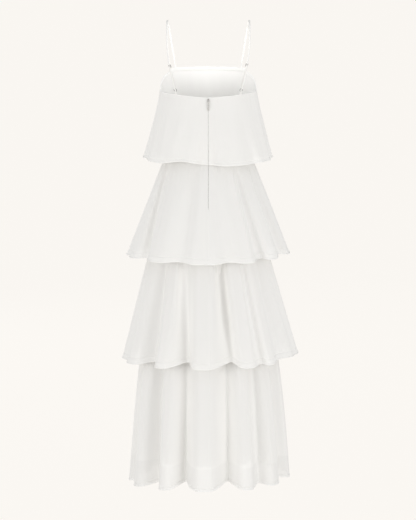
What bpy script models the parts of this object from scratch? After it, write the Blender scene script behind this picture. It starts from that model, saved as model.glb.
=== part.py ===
"""Long dress with four loose tiers, thin straps and a back zip, open in the shape it is worn in.

Metres, +Z up. The front faces -Y and the back, with the zip, faces +Y.
The origin is level with the tops of the straps, midway between them.
An angle runs round the dress in degrees: 0 at the centre back, 90 at the +X side, 180 at the
centre front and -90 at the -X side. The wearer's left is +X.
"""
import math
from collections import namedtuple

import bmesh
import bpy
import numpy as np
from mathutils import Matrix, Vector

CLOTH = 0.0010
BODICE_CLOTH = 0.0012
ZIP_TAPE = 0.0008
GAP = 0.0003
ZIP_SEAM = 0.0009
ZIP_ROOM = ZIP_TAPE + GAP + 0.0002
ZIP_ROOM_REACH = 0.024

WAIST = -0.400
TIER_3_SEAM = -0.610
TIER_4_SEAM = -0.920
SLIP_HEM = -1.2985

# The body form is the inner face of the bodice and the slip.
# height, half width at the sides, depth behind the side seams, depth in front of them
BODY = (
    (-0.120, 0.1405, 0.0920, 0.108),
    (-0.203, 0.1395, 0.0935, 0.116),
    (-0.262, 0.1380, 0.0945, 0.121),
    (-0.332, 0.1300, 0.0905, 0.105),
    (-0.400, 0.1255, 0.0885, 0.0925),
    (-0.490, 0.1390, 0.1000, 0.100),
    (-0.610, 0.1550, 0.1170, 0.112),
    (-0.770, 0.1690, 0.1320, 0.126),
    (-0.920, 0.1830, 0.1460, 0.142),
    (-1.140, 0.1950, 0.1650, 0.160),
    (-1.310, 0.2030, 0.1770, 0.172),
)
CUP_RISE = 0.008
CUP_ANGLE = 146.0
CUP_HEIGHT = -0.254
CUP_ANGLE_SPREAD = 17.0
CUP_HEIGHT_SPREAD = 0.045

# angle from the centre back, height of the neckline
NECKLINE = (
    (0.0, -0.2206),
    (25.0, -0.2165),
    (45.0, -0.2125),
    (65.0, -0.2105),
    (80.0, -0.2075),
    (90.0, -0.2030),
    (99.5, -0.1880),
    (113.0, -0.1680),
    (125.0, -0.1570),
    (135.5, -0.1450),
    (180.0, -0.1450),
)
# angle, height of the top tier's hem
TIER_1_HEM = (
    (-90.0, -0.4040),
    (-45.0, -0.4125),
    (-20.0, -0.4160),
    (0.0, -0.4145),
    (24.0, -0.4035),
    (48.0, -0.4115),
    (90.0, -0.4040),
    (135.0, -0.4140),
    (180.0, -0.4160),
    (225.0, -0.4140),
    (270.0, -0.4040),
)

# Each fold: angle of its valley at the hem, angle of the ridge after it, depth of the valley.
TIER_1_FOLDS = (
    (-82.0, -64.0, 0.008),
    (-46.0, -24.0, 0.010),
    (0.0, 22.0, 0.028),
    (44.0, 60.0, 0.008),
    (76.0, 97.0, 0.008),
    (113.0, 124.0, 0.006),
    (135.5, 152.0, 0.006),
    (168.0, 181.0, 0.006),
    (195.0, 210.0, 0.006),
    (224.5, 236.0, 0.006),
    (247.0, 262.0, 0.006),
)
TIER_2_FOLDS = (
    (-102.0, -84.0, 0.010),
    (-63.0, -53.0, 0.022),
    (-41.5, -30.0, 0.020),
    (-16.0, 4.0, 0.014),
    (24.0, 40.0, 0.014),
    (56.0, 70.0, 0.018),
    (80.0, 92.0, 0.008),
    (111.0, 127.0, 0.026),
    (146.0, 160.0, 0.018),
    (174.0, 188.0, 0.022),
    (203.0, 217.0, 0.020),
    (232.0, 247.0, 0.026),
)
TIER_3_FOLDS = (
    (-104.0, -83.0, 0.014),
    (-53.0, -44.0, 0.018),
    (-36.0, -27.0, 0.016),
    (-11.5, 5.0, 0.052),
    (21.0, 34.0, 0.050),
    (47.0, 65.0, 0.042),
    (79.0, 92.0, 0.012),
    (111.0, 127.0, 0.040),
    (143.0, 156.0, 0.035),
    (169.0, 181.0, 0.042),
    (193.0, 206.0, 0.035),
    (218.0, 230.0, 0.040),
    (241.0, 251.0, 0.030),
)
TIER_4_FOLDS = (
    (-102.0, -86.0, 0.020),
    (-68.0, -54.0, 0.034),
    (-42.0, -29.0, 0.032),
    (-16.5, 5.0, 0.062),
    (21.5, 35.0, 0.062),
    (48.0, 66.0, 0.052),
    (80.0, 92.0, 0.022),
    (111.0, 127.0, 0.055),
    (143.0, 156.0, 0.050),
    (169.0, 181.0, 0.060),
    (193.0, 206.0, 0.050),
    (218.0, 230.0, 0.055),
    (241.0, 252.0, 0.045),
)
VALLEY_LIFT = 0.26

# The hem is an oval before it folds, with its middle at aside. Opening and folding are powers that
# say how early the cloth opens and folds. The lengths are the cloth's own, from its seam to its
# hem, at the -X side, the +X side and the back. Sharp narrows the valleys, and lean is how far
# they lean aside at the hem, under the ridge before them, for each metre that they go in. Rows run
# down the cloth, and steps are the columns to half a fold.
TIER_COLUMNS = "half_width aside back front opening folding right left middle sharp lean rows steps folds"
Tier = namedtuple("Tier", TIER_COLUMNS)
TIER_1 = Tier(0.1910, 0.0, 0.130, 0.172, 1.20, 1.5, None, None, None, 1.7, 0.0, 4, 3, TIER_1_FOLDS)
TIER_2 = Tier(0.2420, 0.0, 0.180, 0.180, 1.00, 0.8, 0.310, 0.317, 0.312, 1.7, 0.35, 5, 3, TIER_2_FOLDS)
TIER_3 = Tier(0.2615, -0.004, 0.220, 0.215, 1.00, 0.8, 0.393, 0.410, 0.404, 1.8, 0.35, 5, 4, TIER_3_FOLDS)
TIER_4 = Tier(0.2410, -0.004, 0.218, 0.212, 0.58, 0.6, 0.447, 0.463, 0.449, 1.8, 0.0, 7, 4, TIER_4_FOLDS)
TIER_2_ABOVE_WAIST = 0.001
BODICE_ROWS = 5
# Two columns close to the zip keep the top tier's pinch soft beside its seam.
BESIDE_ZIP = (-1.5, 1.5)

# The slip's folds lie inside the fourth tier's and begin at the third tier's seam.
SLIP_LEVELS = (WAIST - GAP, -0.50, TIER_3_SEAM, -0.76, TIER_4_SEAM, -1.05, -1.18)
SLIP_FOLD_SHARE = 0.70
SLIP_FOLD_GROWTH = 0.9
SEAM_ANGLES = (-90.0, 0.0, 90.0)
# panel, angle where it starts, angle where it ends
PANELS = (
    ("front", 90.0, 270.0),
    ("back_left", 0.0, 90.0),
    ("back_right", -90.0, 0.0),
)

STRAP_WIDTH = 0.0050
STRAP_CLOTH = 0.0010
STRAP_FRONT_ANGLE = 136.5
# The middle of the left strap, from above its front end to above its slider at the back.
STRAP_ROUTE = (
    (0.1057, -0.0700, -0.0900),
    (0.1133, -0.0500, -0.0400),
    (0.1179, -0.0250, -0.0105),
    (0.1194, 0.0000, -0.0005),
    (0.1202, 0.0220, -0.0060),
    (0.1206, 0.0420, -0.0290),
    (0.1203, 0.0590, -0.0580),
    (0.1180, 0.0740, -0.0930),
)
STRAP_STEPS = 3
# side of the dress, sign of x, height of the middle of its slider
STRAP_SIDES = (
    ("left", 1, -0.1287),
    ("right", -1, -0.1252),
)
SLIDER_X = 0.1117
SLIDER_Y = 0.0835
SLIDER_PLATE = (0.0084, 0.0092, 0.0008)
SLIDER_SLOT = (0.0060, 0.0030, 0.0040)
SLIDER_SLOT_OUT = 0.0021
SLIDER_BEVEL = 0.00025
# How the strap weaves through its slider: place up from the slider's middle, place outward.
WEAVE_DOWN = (
    (0.0085, -0.0008),
    (0.0052, -0.0012),
    (0.0034, -0.0012),
    (0.0008, 0.0012),
    (-0.0008, 0.0012),
    (-0.0034, -0.0012),
    (-0.0052, -0.0012),
)
WEAVE_BACK_UP = (
    (-0.0056, -0.0026),
    (-0.0034, -0.0026),
    (-0.0008, -0.0012),
    (0.0004, -0.0012),
)
RING_ANGLE = 41.4
RING_ABOVE_NECK = 0.0145
RING_RADIUS = 0.0044
RING_WIRE = 0.0007
RING_SAG = RING_RADIUS - math.sqrt(RING_RADIUS ** 2 - (STRAP_WIDTH / 2) ** 2)
STRAP_TURN = RING_WIRE + GAP + STRAP_CLOTH / 2
STRAP_TURN_STEPS = 6
LOOP_LEG_OUT = (BODICE_CLOTH + GAP) / 2
LOOP_END = 0.0011
LOOP_STRAIGHT = 0.0040

ZIP_TAPE_X = (-0.0100, -0.0036, 0.0, 0.0036, 0.0100)
ZIP_TAPE_TIER_ROWS = 3
ZIP_SLIDER_TOP = 0.0025
ZIP_SLIDER_SIZE = (0.0056, 0.0022, 0.0100)
ZIP_SLIDER_BEVEL = 0.0007
ZIP_LUG_SIZE = (0.0009, 0.0032, 0.0022)
ZIP_LUG_X = 0.00215
ZIP_PIN_RADIUS = 0.00045
ZIP_PIN_OUT = 0.0019
PULL_LENGTH = 0.0300
PULL_WIDTH = 0.0040
PULL_THICKNESS = 0.0008
PULL_BARREL = 0.00135
PULL_BARREL_WIDTH = 0.0027
PULL_HOLE = 0.0008
PULL_TOP = 0.0010
PULL_NECK = 0.0026
PULL_SHOULDER = 0.0055

DRESS = "maxi_dress"


def curve_through(x, xs, ys):
    """Smooth curve through the points (xs, ys) that turns only at the points themselves."""
    xs = np.asarray(xs, float)
    ys = np.asarray(ys, float)
    step = np.diff(xs)
    slope = np.diff(ys) / step
    tangent = np.zeros_like(ys)
    product = slope[1:] * slope[:-1]
    total = np.where(product > 0, slope[1:] + slope[:-1], 1.0)
    tangent[1:-1] = np.where(product > 0, 2 * product / total, 0.0)
    tangent[0] = slope[0]
    tangent[-1] = slope[-1]
    k = np.clip(np.searchsorted(xs, x) - 1, 0, len(step) - 1)
    u = (x - xs[k]) / step[k]
    start = ys[k] * (1 + 2 * u) * (1 - u) ** 2 + tangent[k] * step[k] * u * (1 - u) ** 2
    end = ys[k + 1] * u ** 2 * (3 - 2 * u) - tangent[k + 1] * step[k] * u ** 2 * (1 - u)
    return start + end


def from_back(angle):
    """Angle from the centre back, the same on both sides, from 0 to 180."""
    return abs((np.asarray(angle, float) + 180.0) % 360.0 - 180.0)


def oval(angle, half_width, back, front):
    """Plan point of two half ellipses, one behind the side seams and one before them."""
    turn = np.radians(angle)
    depth = np.where(np.cos(turn) > 0, back, front)
    return half_width * np.sin(turn), depth * np.cos(turn)


def body(angle, height):
    """Plan point of the body form, with its two soft cups, at an angle and a height."""
    table = np.array(BODY)
    down = -np.asarray(height, float)
    width, back, front = (curve_through(down, -table[:, 0], table[:, k]) for k in (1, 2, 3))
    x, y = oval(angle, width, back, front)
    turn = np.radians(angle)
    depth = np.where(np.cos(turn) > 0, back, front)
    normal_x = np.sin(turn) / width
    normal_y = np.cos(turn) / depth
    size = np.hypot(normal_x, normal_y)
    across = (from_back(angle) - CUP_ANGLE) / CUP_ANGLE_SPREAD
    along = (np.asarray(height, float) - CUP_HEIGHT) / CUP_HEIGHT_SPREAD
    rise = CUP_RISE * np.exp(-across ** 2 - along ** 2)
    return x + rise * normal_x / size, y + rise * normal_y / size


def unit(vector):
    """The vector at length one."""
    return vector / np.linalg.norm(vector)


def sheet_of(x, y, z):
    """Points of a sheet as one array: rows down the cloth, columns round it."""
    return np.stack(np.broadcast_arrays(x, y, z), axis=-1)


def outward(sheet):
    """Level direction that points away from the body at each point of a closed sheet."""
    along = np.roll(sheet, -1, axis=1) - np.roll(sheet, 1, axis=1)
    normal = np.stack([-along[..., 1], along[..., 0], np.zeros(along.shape[:2])], axis=-1)
    return normal / np.linalg.norm(normal, axis=-1, keepdims=True)


def fold_columns(tier, extra=()):
    """Angles of a garment's columns, the depth of fold at each and its wave from 1 to 0.

    A fold's phase runs from 0 in its valley to half a turn on its ridge and a whole turn in the
    next valley, with steps columns to each half. The seams' own angles are columns too.
    """
    table = np.array(tier.folds)
    knots = np.append(table[:, :2].ravel(), table[0, 0] + 360.0)
    turns = np.arange(len(knots)) * math.pi
    columns = np.arange(len(table) * 2 * tier.steps)
    angles = np.interp(columns * math.pi / tier.steps, turns, knots)
    fixed = np.array(SEAM_ANGLES + tuple(extra))
    angles = (angles + 90.0) % 360.0 - 90.0
    clear = np.abs(from_back(angles[:, None] - fixed[None, :])).min(axis=1) > 1.0
    angles = np.sort(np.concatenate([angles[clear], fixed]))
    phase = np.interp((angles - knots[0]) % 360.0 + knots[0], knots, turns)
    fold = np.minimum((phase / (2 * math.pi)).astype(int), len(table) - 1)
    share = phase / (2 * math.pi) - fold
    here = table[fold, 2]
    after = table[(fold + 1) % len(table), 2]
    depth = here + (after - here) * (1 - np.cos(math.pi * share)) / 2
    wave = ((1 + np.cos(phase)) / 2) ** tier.sharp
    return angles, depth, wave


def neckline(angle):
    """Height of the neckline."""
    table = np.array(NECKLINE)
    return curve_through(from_back(angle), table[:, 0], table[:, 1])


def shares(rows):
    """How far down the cloth each row lies, from 0 at its seam to 1 at its hem, as a column."""
    return (np.arange(rows + 1) / rows)[:, None]


def hem_oval(tier, angle):
    """Plan point of a tier's hem without its folds."""
    x, y = oval(angle, tier.half_width, tier.back, tier.front)
    return x + tier.aside, y


def flared(tier, top, smooth, angle, inward, heights):
    """Loose cloth from a top ring: it opens to the hem's oval and its valleys deepen and lean.

    top is the row of points where it is sewn on, smooth is that row without folds, inward is
    how much further in each column lies at the hem than at the top, and heights has a row of
    heights for each row of cloth.
    """
    share = shares(tier.rows)
    hem_x, hem_y = hem_oval(tier, angle)
    normal = outward(smooth[None])[0]
    fold = inward * share ** tier.folding
    opened = share ** tier.opening
    lean = tier.lean * inward * share ** 2
    x = top[:, 0] + (hem_x - smooth[:, 0]) * opened - normal[:, 0] * fold - normal[:, 1] * lean
    y = top[:, 1] + (hem_y - smooth[:, 1]) * opened - normal[:, 1] * fold + normal[:, 0] * lean
    return sheet_of(x, y, heights)


def hanging_heights(tier, smooth, angle, inward):
    """Heights of a tier's rows, from the length of its cloth and how far out it has to reach."""
    hem_x, hem_y = hem_oval(tier, angle)
    reach = np.hypot(hem_x - smooth[:, 0], hem_y - smooth[:, 1])
    turn = np.radians(angle)
    side = (tier.left + tier.right) / 2 + (tier.left - tier.right) / 2 * np.sin(turn)
    length = side + (tier.middle - side) * np.cos(turn) ** 2
    drop = np.sqrt(length ** 2 - reach ** 2) - VALLEY_LIFT * inward
    return smooth[:, 2] - drop * shares(tier.rows)


def sewn_round(angles, height, room):
    """Ring of points on the body form, moved out by the room that the cloth under it takes."""
    ring = sheet_of(*body(angles, height), height)
    return ring + outward(ring[None])[0] * np.broadcast_to(room, angles.shape)[:, None]


def over_zip(angles, height):
    """Room for the bodice's wall and, at the centre back, for the zip's tape."""
    x, y = body(angles, height)
    tape = np.where(y > 0, ZIP_ROOM / (1 + (x / ZIP_ROOM_REACH) ** 8), 0.0)
    return BODICE_CLOTH + GAP + tape


def material(name, colour, roughness, metallic=0.0):
    """A plain material with one Principled shader."""
    made = bpy.data.materials.new(name)
    made.use_nodes = True
    shader = made.node_tree.nodes["Principled BSDF"]
    shader.inputs["Base Color"].default_value = (*colour, 1.0)
    shader.inputs["Roughness"].default_value = roughness
    shader.inputs["Metallic"].default_value = metallic
    return made


def keep(thing, finish, home):
    """Give an object its material and its collection."""
    thing.data.materials.clear()
    thing.data.materials.append(finish)
    for collection in list(thing.users_collection):
        collection.objects.unlink(thing)
    home.objects.link(thing)
    return thing


def cloth_wall(name, points, thickness, offset, finish, home):
    """A wall of cloth: a grid of points, rows by columns, given its thickness by Solidify."""
    rows, columns = points.shape[:2]
    corners = [(r * columns + c, r * columns + c + 1, (r + 1) * columns + c + 1, (r + 1) * columns + c)
               for r in range(rows - 1) for c in range(columns - 1)]
    mesh = bpy.data.meshes.new(name)
    mesh.from_pydata(points.reshape(-1, 3).tolist(), [], corners)
    mesh.update()
    mesh.shade_smooth()
    wall = bpy.data.objects.new(name, mesh)
    bpy.context.scene.collection.objects.link(wall)
    cut = wall.modifiers.new("triangles", "TRIANGULATE")
    cut.quad_method = "FIXED"
    thick = wall.modifiers.new("thickness", "SOLIDIFY")
    thick.thickness = thickness
    thick.offset = offset
    return keep(wall, finish, home)


def cut_panels(name, angles, sheet, thickness, back_gap, finish, home):
    """Cut a closed sheet into its front and two back panels, parted at the seams."""
    for panel, start, end in PANELS:
        first = int(np.argmin(abs(angles - start)))
        last = len(angles) if end >= 270.0 else int(np.argmin(abs(angles - end)))
        points = sheet[:, np.arange(first, last + 1) % len(angles)].copy()
        for edge, inner, seam in ((0, 1, start), (-1, -2, end)):
            gap = back_gap if seam == 0.0 else GAP
            along = points[:, inner] - points[:, edge]
            points[:, edge] += along / np.linalg.norm(along, axis=1, keepdims=True) * gap / 2
        cloth_wall(f"{name}_{panel}", points, thickness, 1.0, finish, home)


def make_bodice(finish, home):
    """The fitted bodice, from the neckline to just above the waist. Returns its sheet."""
    angles, _, _ = fold_columns(TIER_1, BESIDE_ZIP)
    top = neckline(angles)
    heights = top + (WAIST + GAP - top) * shares(BODICE_ROWS)
    sheet = sheet_of(*body(angles[None], heights), heights)
    cut_panels("bodice", angles, sheet, BODICE_CLOTH, ZIP_SEAM, finish, home)
    return sheet


def make_tier_1(finish, home):
    """The top tier, sewn in at the neckline and drawn in at the zip. Returns its sheet."""
    angles, depth, wave = fold_columns(TIER_1, BESIDE_ZIP)
    top_height = neckline(angles)
    top = sewn_round(angles, top_height, over_zip(angles, top_height))
    hem = np.array(TIER_1_HEM)
    fall = curve_through(angles, hem[:, 0], hem[:, 1]) - top_height
    heights = top_height + fall * shares(TIER_1.rows)
    sheet = flared(TIER_1, top, top, angles, depth * wave, heights)
    cut_panels("tier_1", angles, sheet, CLOTH, ZIP_SEAM, finish, home)
    return sheet


def make_hung_tier(name, tier, height, room, finish, home):
    """A tier sewn on smooth at one height. Returns its sheet."""
    angles, depth, wave = fold_columns(tier)
    top = sewn_round(angles, height, room(angles, height))
    heights = hanging_heights(tier, top, angles, depth * wave)
    sheet = flared(tier, top, top, angles, depth * wave, heights)
    cut_panels(name, angles, sheet, CLOTH, GAP, finish, home)
    return sheet


def over_slip(angles, _height):
    """Room for the slip's wall."""
    return np.full(angles.shape, CLOTH + GAP)


def slip_sheet(angles, depth, wave):
    """The slip from the waist to its hem, and how far in its folds lie at each point."""
    hem = SLIP_HEM + VALLEY_LIFT * SLIP_FOLD_SHARE * depth * wave
    levels = np.repeat(np.array(SLIP_LEVELS)[:, None], len(angles), axis=1)
    heights = np.vstack([levels, hem])
    smooth = sheet_of(*body(angles[None], heights), heights)
    below = np.clip((TIER_3_SEAM - heights) / (TIER_3_SEAM - SLIP_HEM), 0.0, 1.0)
    inward = SLIP_FOLD_SHARE * depth * wave * below ** SLIP_FOLD_GROWTH
    return smooth - outward(smooth) * inward[..., None], inward


def make_skirt(finish, lining, home):
    """The slip, and the fourth tier that is sewn round it and follows its folds."""
    angles, depth, wave = fold_columns(TIER_4)
    slip, inward = slip_sheet(angles, depth, wave)
    cut_panels("slip", angles, slip, CLOTH, GAP, lining, home)
    seam = SLIP_LEVELS.index(TIER_4_SEAM)
    top = slip[seam] + outward(slip[seam][None])[0] * (CLOTH + GAP)
    smooth = sewn_round(angles, TIER_4_SEAM, CLOTH + GAP)
    heights = hanging_heights(TIER_4, smooth, angles, depth * wave)
    sheet = flared(TIER_4, top, smooth, angles, depth * wave - inward[seam], heights)
    cut_panels("tier_4", angles, sheet, CLOTH, GAP, finish, home)


def near_back(sheet, x):
    """Each row of a closed sheet at the distances x from the centre back line."""
    middle = sheet[:, (sheet[0, :, 1] > 0) & (abs(sheet[0, :, 0]) < 0.05)]
    rows = [sheet_of(x, np.interp(x, row[:, 0], row[:, 1]), np.interp(x, row[:, 0], row[:, 2]))
            for row in middle]
    return np.array(rows)


def make_zip_tape(bodice, tier_2, finish, home):
    """The zip's tape, on the outside of the bodice and then on the inside of the second tier."""
    over = near_back(bodice[:-1], ZIP_TAPE_X)
    over[..., 1] += BODICE_CLOTH + GAP
    under = near_back(tier_2[:ZIP_TAPE_TIER_ROWS + 1], ZIP_TAPE_X)
    under[..., 1] -= GAP + ZIP_TAPE
    cloth_wall("zip_tape", np.vstack([over, under]), ZIP_TAPE, 1.0, finish, home)


def solid_box(name, size, centre, finish, home):
    """A box at a place in its own object's frame."""
    box = bmesh.new()
    place = Matrix.Translation(centre) @ Matrix.Diagonal((*size, 1.0))
    bmesh.ops.create_cube(box, size=1.0, matrix=place)
    mesh = bpy.data.meshes.new(name)
    box.to_mesh(mesh)
    box.free()
    return keep(bpy.data.objects.new(name, mesh), finish, home)


def rod(name, radius, length, out, finish, home):
    """A round rod along X, a distance out from its object's middle."""
    made = bmesh.new()
    place = Matrix.Translation((0.0, out, 0.0)) @ Matrix.Rotation(math.pi / 2, 4, "Y")
    bmesh.ops.create_cone(made, cap_ends=True, segments=16, radius1=radius, radius2=radius,
                          depth=length, matrix=place)
    mesh = bpy.data.meshes.new(name)
    made.to_mesh(mesh)
    made.free()
    return keep(bpy.data.objects.new(name, mesh), finish, home)


def combine(thing, other, operation):
    """Join another shape to a thing, or cut it out, and keep that shape as a hidden tool."""
    change = thing.modifiers.new(other.name, "BOOLEAN")
    change.operation = operation
    change.object = other
    other.matrix_world = thing.matrix_world
    other.hide_render = True
    other.display_type = "WIRE"


def rounded(thing, width):
    """Small rounded edges."""
    bevel = thing.modifiers.new("edges", "BEVEL")
    bevel.width = width
    bevel.segments = 2


def make_zip_slider(tier_1, metal, home, tools):
    """The zip's slider on the top tier, its two lugs and their pin. Returns the pin's place."""
    upper, lower = near_back(tier_1[:2], (0.0,))[:, 0]
    lean = math.atan2(lower[1] - upper[1], upper[2] - lower[2])
    middle = ZIP_SLIDER_TOP + ZIP_SLIDER_SIZE[2] / 2
    away = CLOTH + GAP + ZIP_SLIDER_SIZE[1] / 2
    down = Vector((0.0, math.sin(lean), -math.cos(lean)))
    out = Vector((0.0, math.cos(lean), math.sin(lean)))
    place = Vector(upper) + down * middle + out * away
    slider = solid_box("zip_slider", ZIP_SLIDER_SIZE, (0.0, 0.0, 0.0), metal, home)
    slider.matrix_world = Matrix.Translation(place) @ Matrix.Rotation(lean, 4, "X")
    rounded(slider, ZIP_SLIDER_BEVEL)
    face = ZIP_SLIDER_SIZE[1] / 2
    for side in (-1, 1):
        centre = (side * ZIP_LUG_X, face + ZIP_LUG_SIZE[1] / 2 - ZIP_SLIDER_BEVEL / 2, 0.0)
        lug = solid_box(f"zip_lug_{side}", ZIP_LUG_SIZE, centre, metal, tools)
        combine(slider, lug, "UNION")
    pin = rod("zip_pin", ZIP_PIN_RADIUS, 2 * ZIP_LUG_X, face + ZIP_PIN_OUT, metal, tools)
    combine(slider, pin, "UNION")
    return place + out * (face + ZIP_PIN_OUT)


def make_zip_pull(pin, metal, home, tools):
    """The zip's pull tab: a flat blade that hangs by its barrel and turns on the slider's pin."""
    half = PULL_WIDTH / 2
    foot = [math.radians(-18 * k) for k in range(6)]
    narrow = PULL_BARREL_WIDTH / 2 - GAP / 2
    right = [(narrow, -PULL_TOP), (narrow, -PULL_NECK), (half, -PULL_SHOULDER)]
    right += [(half * math.cos(a), half - PULL_LENGTH + half * math.sin(a)) for a in foot]
    outline = right + [(-x, z) for x, z in reversed(right[:-1])]
    shape = bpy.data.curves.new("pull_outline", "CURVE")
    shape.dimensions = "2D"
    shape.fill_mode = "BOTH"
    shape.extrude = PULL_THICKNESS / 2
    spline = shape.splines.new("POLY")
    spline.points.add(len(outline) - 1)
    spline.use_cyclic_u = True
    for point, (x, z) in zip(spline.points, outline):
        point.co = (x, z, 0.0, 1.0)
    drawn = bpy.data.objects.new("pull_outline", shape)
    home.objects.link(drawn)
    blade = bmesh.new()
    view = bpy.context.evaluated_depsgraph_get()
    solid = bpy.data.meshes.new_from_object(drawn.evaluated_get(view))
    blade.from_mesh(solid)
    bmesh.ops.remove_doubles(blade, verts=blade.verts, dist=0.00001)
    blade.transform(Matrix.Rotation(math.pi / 2, 4, "X"))
    blade.to_mesh(solid)
    blade.free()
    bpy.data.objects.remove(drawn, do_unlink=True)
    pull = keep(bpy.data.objects.new("zip_pull", solid), metal, home)
    pull.matrix_world = Matrix.Translation(pin)
    barrel = rod("pull_barrel", PULL_BARREL, PULL_BARREL_WIDTH, 0.0, metal, tools)
    combine(pull, barrel, "UNION")
    hole = rod("pull_hole", PULL_HOLE, 2 * PULL_BARREL_WIDTH, 0.0, metal, tools)
    combine(pull, hole, "DIFFERENCE")


def neck_seat(angle):
    """Middle of the two cloths at the neckline, and the level direction along it."""
    height = neckline(angle)
    before = np.array(body(angle - 0.5, height))
    after = np.array(body(angle + 0.5, height))
    along = unit(np.append(after - before, 0.0))
    out = np.array((-along[1], along[0], 0.0))
    middle = np.append((before + after) / 2, height)
    return middle + out * (BODICE_CLOTH + GAP + CLOTH) / 2, along


def ring_frame(slider_height):
    """The left ring's middle, its directions across, up and out, and how far up the slider is."""
    seat, along = neck_seat(RING_ANGLE)
    slider = np.array((SLIDER_X, SLIDER_Y, slider_height))
    up = unit(slider - seat)
    across = unit(along - up * (along @ up))
    out = np.cross(across, up)
    ring = seat + up * RING_ABOVE_NECK
    return ring, across, up, out, np.linalg.norm(slider - ring)


def turn_round_wire(up, way):
    """Half a turn of strap round the ring's wire at a height up: way 1 goes over, -1 under."""
    turns = [math.pi * k / STRAP_TURN_STEPS for k in range(STRAP_TURN_STEPS + 1)]
    return [(up + way * STRAP_TURN * math.sin(a), STRAP_TURN * math.cos(a)) for a in turns]


def strip(name, middle, across, sign, finish, home):
    """A flat strap along its middle points, with a direction across it at each point."""
    along = np.gradient(middle, axis=0)
    along /= np.linalg.norm(along, axis=1, keepdims=True)
    level = across[0].copy()
    across = across - along * (across * along).sum(axis=1, keepdims=True)
    across /= np.linalg.norm(across, axis=1, keepdims=True)
    across[0] = level
    edge = across * STRAP_WIDTH / 2
    points = np.stack([middle - edge, middle + edge], axis=1) * np.array((sign, 1.0, 1.0))
    cloth_wall(name, points, STRAP_CLOTH, 0.0, finish, home)


def make_strap(side, sign, slider_height, cloth, metal, home, tools):
    """One shoulder strap with its slider, its ring and the loop that holds the ring."""
    ring, across, up, out, rise = ring_frame(slider_height)

    def placed(pairs, base=0.0):
        return [ring + up * (base + u) + out * n for u, n in pairs]

    front, along = neck_seat(STRAP_FRONT_ANGLE)
    front = front + np.array((0.0, 0.0, GAP))
    route = np.array([front, *STRAP_ROUTE, placed(WEAVE_DOWN[:1], rise)[0]])
    run = np.append(0.0, np.cumsum(np.linalg.norm(np.diff(route, axis=0), axis=1)))
    steps = np.interp(np.arange((len(run) - 1) * STRAP_STEPS + 1) / STRAP_STEPS,
                      np.arange(len(run)), run)
    over = np.stack([curve_through(steps, run, route[:, k]) for k in range(3)], axis=1)
    weave = placed(WEAVE_DOWN[1:], rise)
    weave += placed(turn_round_wire(RING_RADIUS - RING_SAG, -1))
    weave += placed(WEAVE_BACK_UP, rise)
    middle = np.vstack([over, weave])
    knots = (0.0, run[4], run[-1])
    ways = np.array((-along, (1.0, 0.0, 0.0), across))
    widths = np.stack([np.interp(steps, knots, ways[:, k]) for k in range(3)], axis=1)
    widths = np.vstack([widths, np.tile(across, (len(weave), 1))])
    strip(f"strap_{side}", middle, widths, sign, cloth, home)

    legs = placed([(LOOP_END - RING_ABOVE_NECK, LOOP_LEG_OUT),
                   (LOOP_STRAIGHT - RING_ABOVE_NECK, LOOP_LEG_OUT)])
    legs += placed(turn_round_wire(RING_SAG - RING_RADIUS, 1))
    legs += placed([(LOOP_STRAIGHT - RING_ABOVE_NECK, -LOOP_LEG_OUT),
                    (LOOP_END - RING_ABOVE_NECK, -LOOP_LEG_OUT)])
    strip(f"strap_loop_{side}", np.array(legs), np.tile(across, (len(legs), 1)), sign, cloth, home)

    mirror = np.array((sign, 1.0, 1.0))
    axes = np.eye(4)
    axes[:3, :3] = np.stack([across * mirror * sign, up * mirror, out * mirror], axis=1)
    turned = Matrix(axes.tolist())
    bpy.ops.mesh.primitive_torus_add(major_radius=RING_RADIUS, minor_radius=RING_WIRE,
                                     major_segments=20, minor_segments=6)
    hoop = bpy.context.object
    hoop.name = f"ring_{side}"
    hoop.matrix_world = Matrix.Translation(ring * mirror) @ turned
    hoop.data.shade_smooth()
    keep(hoop, metal, home)

    plate = solid_box(f"strap_slider_{side}", SLIDER_PLATE, (0.0, 0.0, 0.0), metal, home)
    plate.matrix_world = Matrix.Translation((ring + up * rise) * mirror) @ turned
    rounded(plate, SLIDER_BEVEL)
    for end in (-1, 1):
        centre = (0.0, end * SLIDER_SLOT_OUT, 0.0)
        slot = solid_box(f"slot_{side}_{end}", SLIDER_SLOT, centre, metal, tools)
        combine(plate, slot, "DIFFERENCE")


def main():
    for thing in list(bpy.data.objects):
        bpy.data.objects.remove(thing, do_unlink=True)
    home = bpy.data.collections.new(DRESS)
    tools = bpy.data.collections.new("cutters")
    bpy.context.scene.collection.children.link(home)
    bpy.context.scene.collection.children.link(tools)
    cloth = material("chiffon", (0.86, 0.85, 0.82), 0.8)
    lining = material("lining", (0.84, 0.83, 0.80), 0.6)
    tape = material("zip_tape", (0.84, 0.83, 0.80), 0.7)
    metal = material("nickel", (0.55, 0.54, 0.52), 0.25, 1.0)
    bodice = make_bodice(lining, home)
    tier_1 = make_tier_1(cloth, home)
    tier_2 = make_hung_tier("tier_2", TIER_2, WAIST + TIER_2_ABOVE_WAIST, over_zip, cloth, home)
    make_hung_tier("tier_3", TIER_3, TIER_3_SEAM, over_slip, cloth, home)
    make_skirt(cloth, lining, home)
    make_zip_tape(bodice, tier_2, tape, home)
    pin = make_zip_slider(tier_1, metal, home, tools)
    make_zip_pull(pin, metal, home, tools)
    for side, sign, slider_height in STRAP_SIDES:
        make_strap(side, sign, slider_height, cloth, metal, home, tools)


main()
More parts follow.
